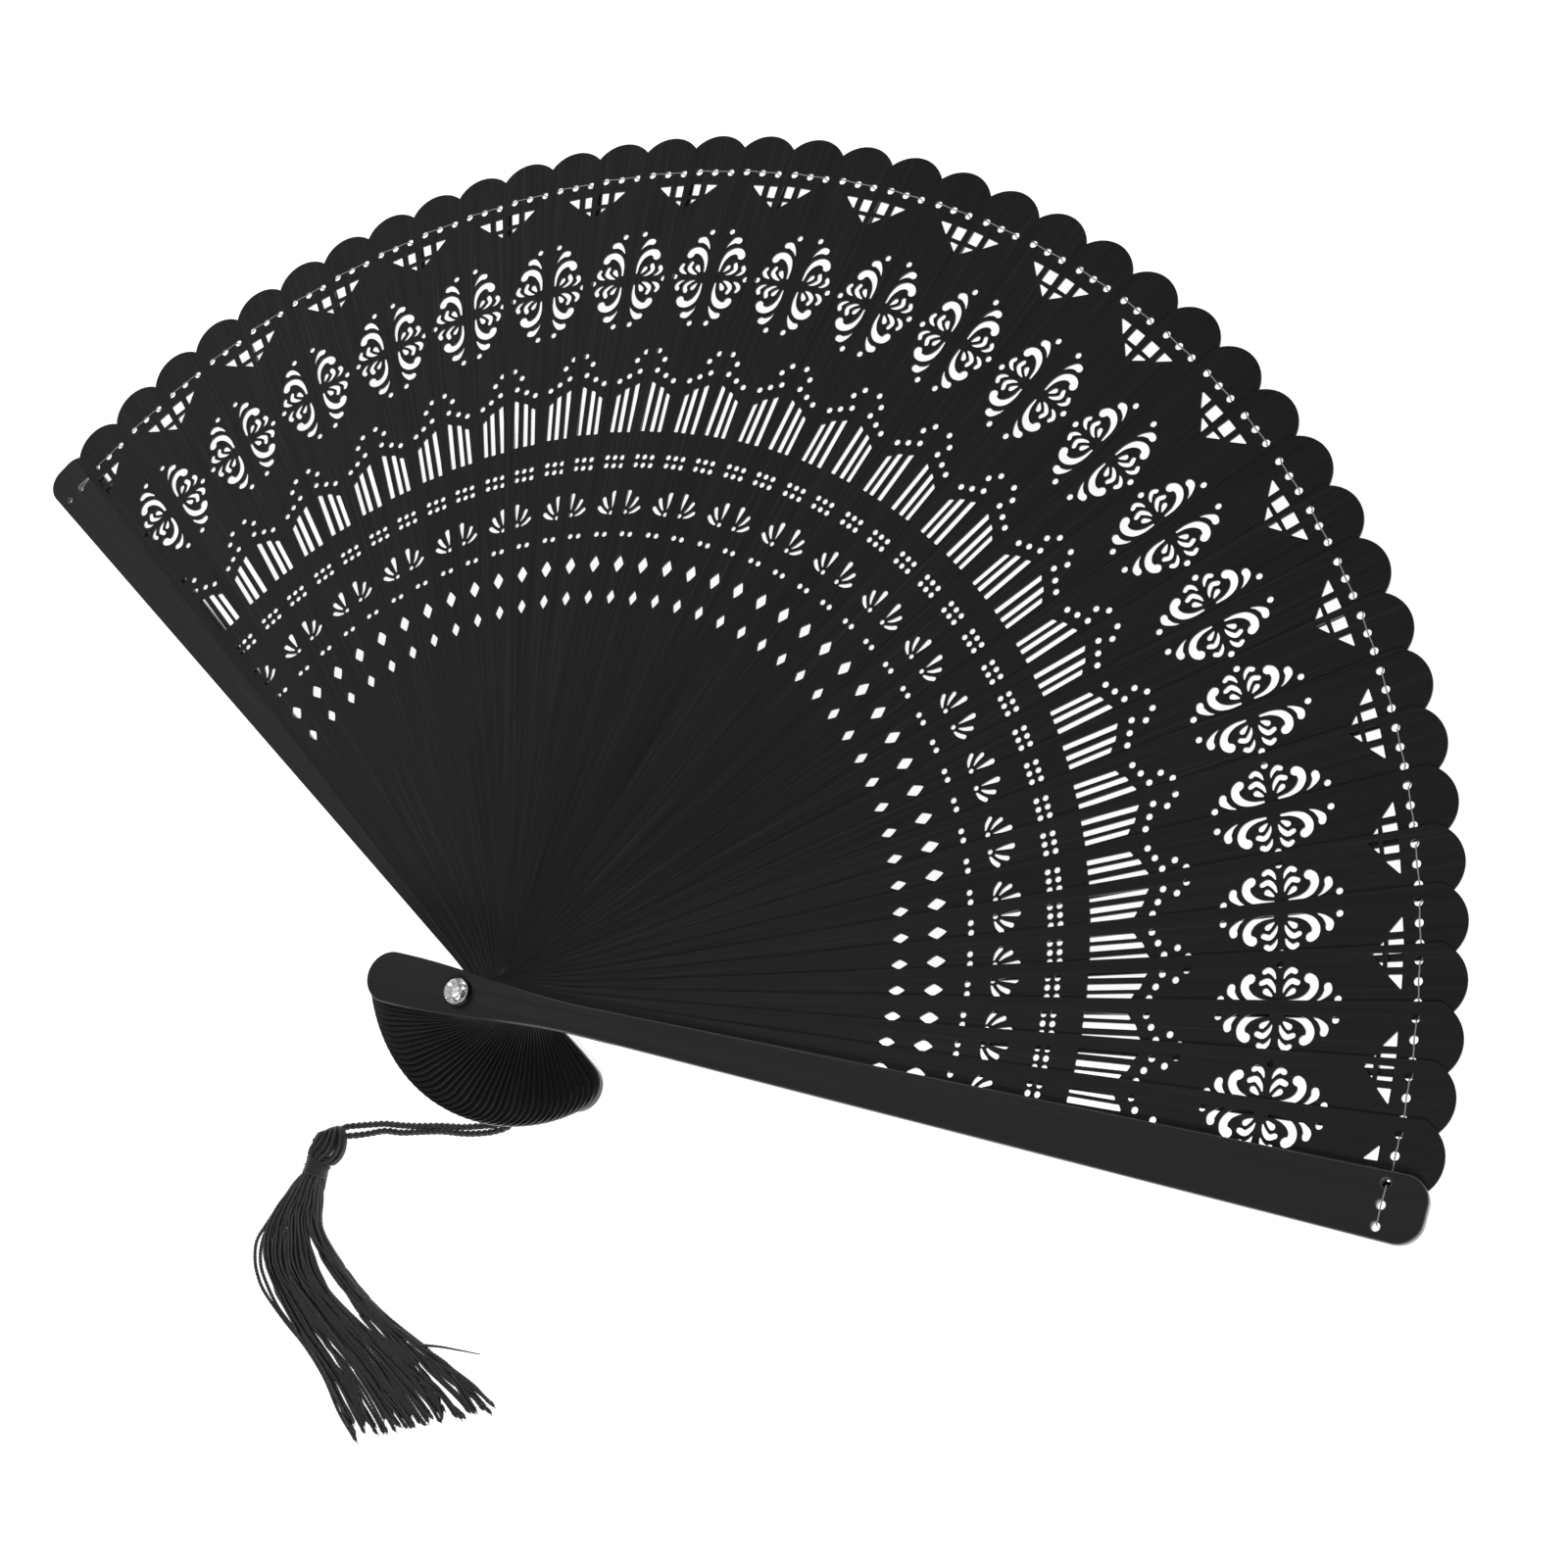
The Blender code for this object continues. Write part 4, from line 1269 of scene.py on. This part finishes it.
def yarn_material():
    """Black rayon yarn: fibres that run round the plies, with a soft sheen and painted glints on the palest
    fibres.
    """
    material, tree, shader = new_material("black_yarn")
    uv = along_uv(tree)
    fibres = streaks(tree, uv, (350.0, 26.0), detail=4.0, roughness=0.7)
    tufts = ramp(tree, streaks(tree, uv, (900.0, 6.0)), (0.62, 0.0), (0.78, 0.5))
    # The palest fibres are a painted highlight, the glints that speckle the threads.
    tone = ramp(tree, fibres, (0.32, 0.0012), (0.56, 0.008), (0.76, 0.110))
    rough = ramp(tree, fibres, (0.3, 0.52), (0.8, 0.30))
    set_inputs(tree, shader, Base_Color=mix(tree, tufts, tone, 0.06), Roughness=rough)
    set_inputs(tree, shader, Sheen_Weight=0.07, Sheen_Roughness=0.45, Specular_IOR_Level=0.65)
    add_bump(tree, shader, fibres, 0.9, 0.00012)
    return material


def nylon_thread():
    """Clear grey nylon."""
    material, tree, shader = new_material("grey_nylon")
    fibres = streaks(tree, along_uv(tree), (1500.0, 9.0))
    tone = ramp(tree, fibres, (0.3, 0.16), (0.7, 0.36))
    rough = ramp(tree, fibres, (0.3, 0.30), (0.7, 0.5))
    set_inputs(tree, shader, Base_Color=tone, Roughness=rough)
    return material


# ---- floor, lights and world ----

FLOOR_HALF_SIZE = 3.0
FLOOR_DROP = 0.0003
# Each softbox: place, size and power.  Both look at the middle of the fan.
SOFTBOXES = {
    "key": ((0.9, -0.55, 1.1), 0.45, 13.5),
    "fill": ((-0.93, 0.34, 1.15), 0.6, 7.2),
}
FAN_MIDDLE = (0.0, 0.05, 0.0)


def make_floor():
    s = FLOOR_HALF_SIZE
    corners = [(-s, -s, 0.0), (s, -s, 0.0), (s, s, 0.0), (-s, s, 0.0)]
    mesh = bpy.data.meshes.new("floor")
    mesh.from_pydata(corners, [], [(0, 1, 2, 3)])
    floor = put_in_scene("floor", mesh)
    floor.location.z = -FLOOR_DROP
    material, tree, shader = new_material("pale_floor")
    set_inputs(tree, shader, Base_Color=0.8, Roughness=0.9, Specular_IOR_Level=0.1)
    set_inputs(tree, shader, Emission_Color=1.0, Emission_Strength=0.9)
    mesh.materials.append(material)


def make_lights():
    for name, (place_at, size, power) in SOFTBOXES.items():
        light = bpy.data.lights.new(name, "AREA")
        light.shape = "RECTANGLE"
        light.size = light.size_y = size
        light.energy = power
        lamp = put_in_scene(name, light)
        lamp.location = place_at
        lamp.rotation_euler = look_from(place_at, FAN_MIDDLE).to_euler()


def make_world():
    """A plain grey studio, paler near the horizon."""
    world = bpy.data.worlds.new("studio")
    bpy.context.scene.world = world
    world.use_nodes = True
    tree = world.node_tree
    around = tree.nodes.new("ShaderNodeTexCoord").outputs["Generated"]
    split = add_node(tree, "ShaderNodeSeparateXYZ", {"Vector": around})
    sky = ramp(tree, split.outputs["Z"], (0.0, 0.40), (0.10, 0.22), (0.45, 0.12))
    set_inputs(tree, tree.nodes["Background"], Color=sky, Strength=1.0)
    bpy.context.scene.view_settings.view_transform = "Standard"


# ---- the whole ----


make_camera()
yarn = yarn_material()
make_cord(yarn)
make_hitch(yarn)
make_head(yarn)
make_binding(yarn)
make_skirt(yarn)
make_sticks(black_wood())
make_thread(nylon_thread())
metal = dark_metal()
make_rivet(metal)
make_bezel(metal)
make_crystal(clear_glass(), silver_foil())
make_floor()
make_lights()
make_world()
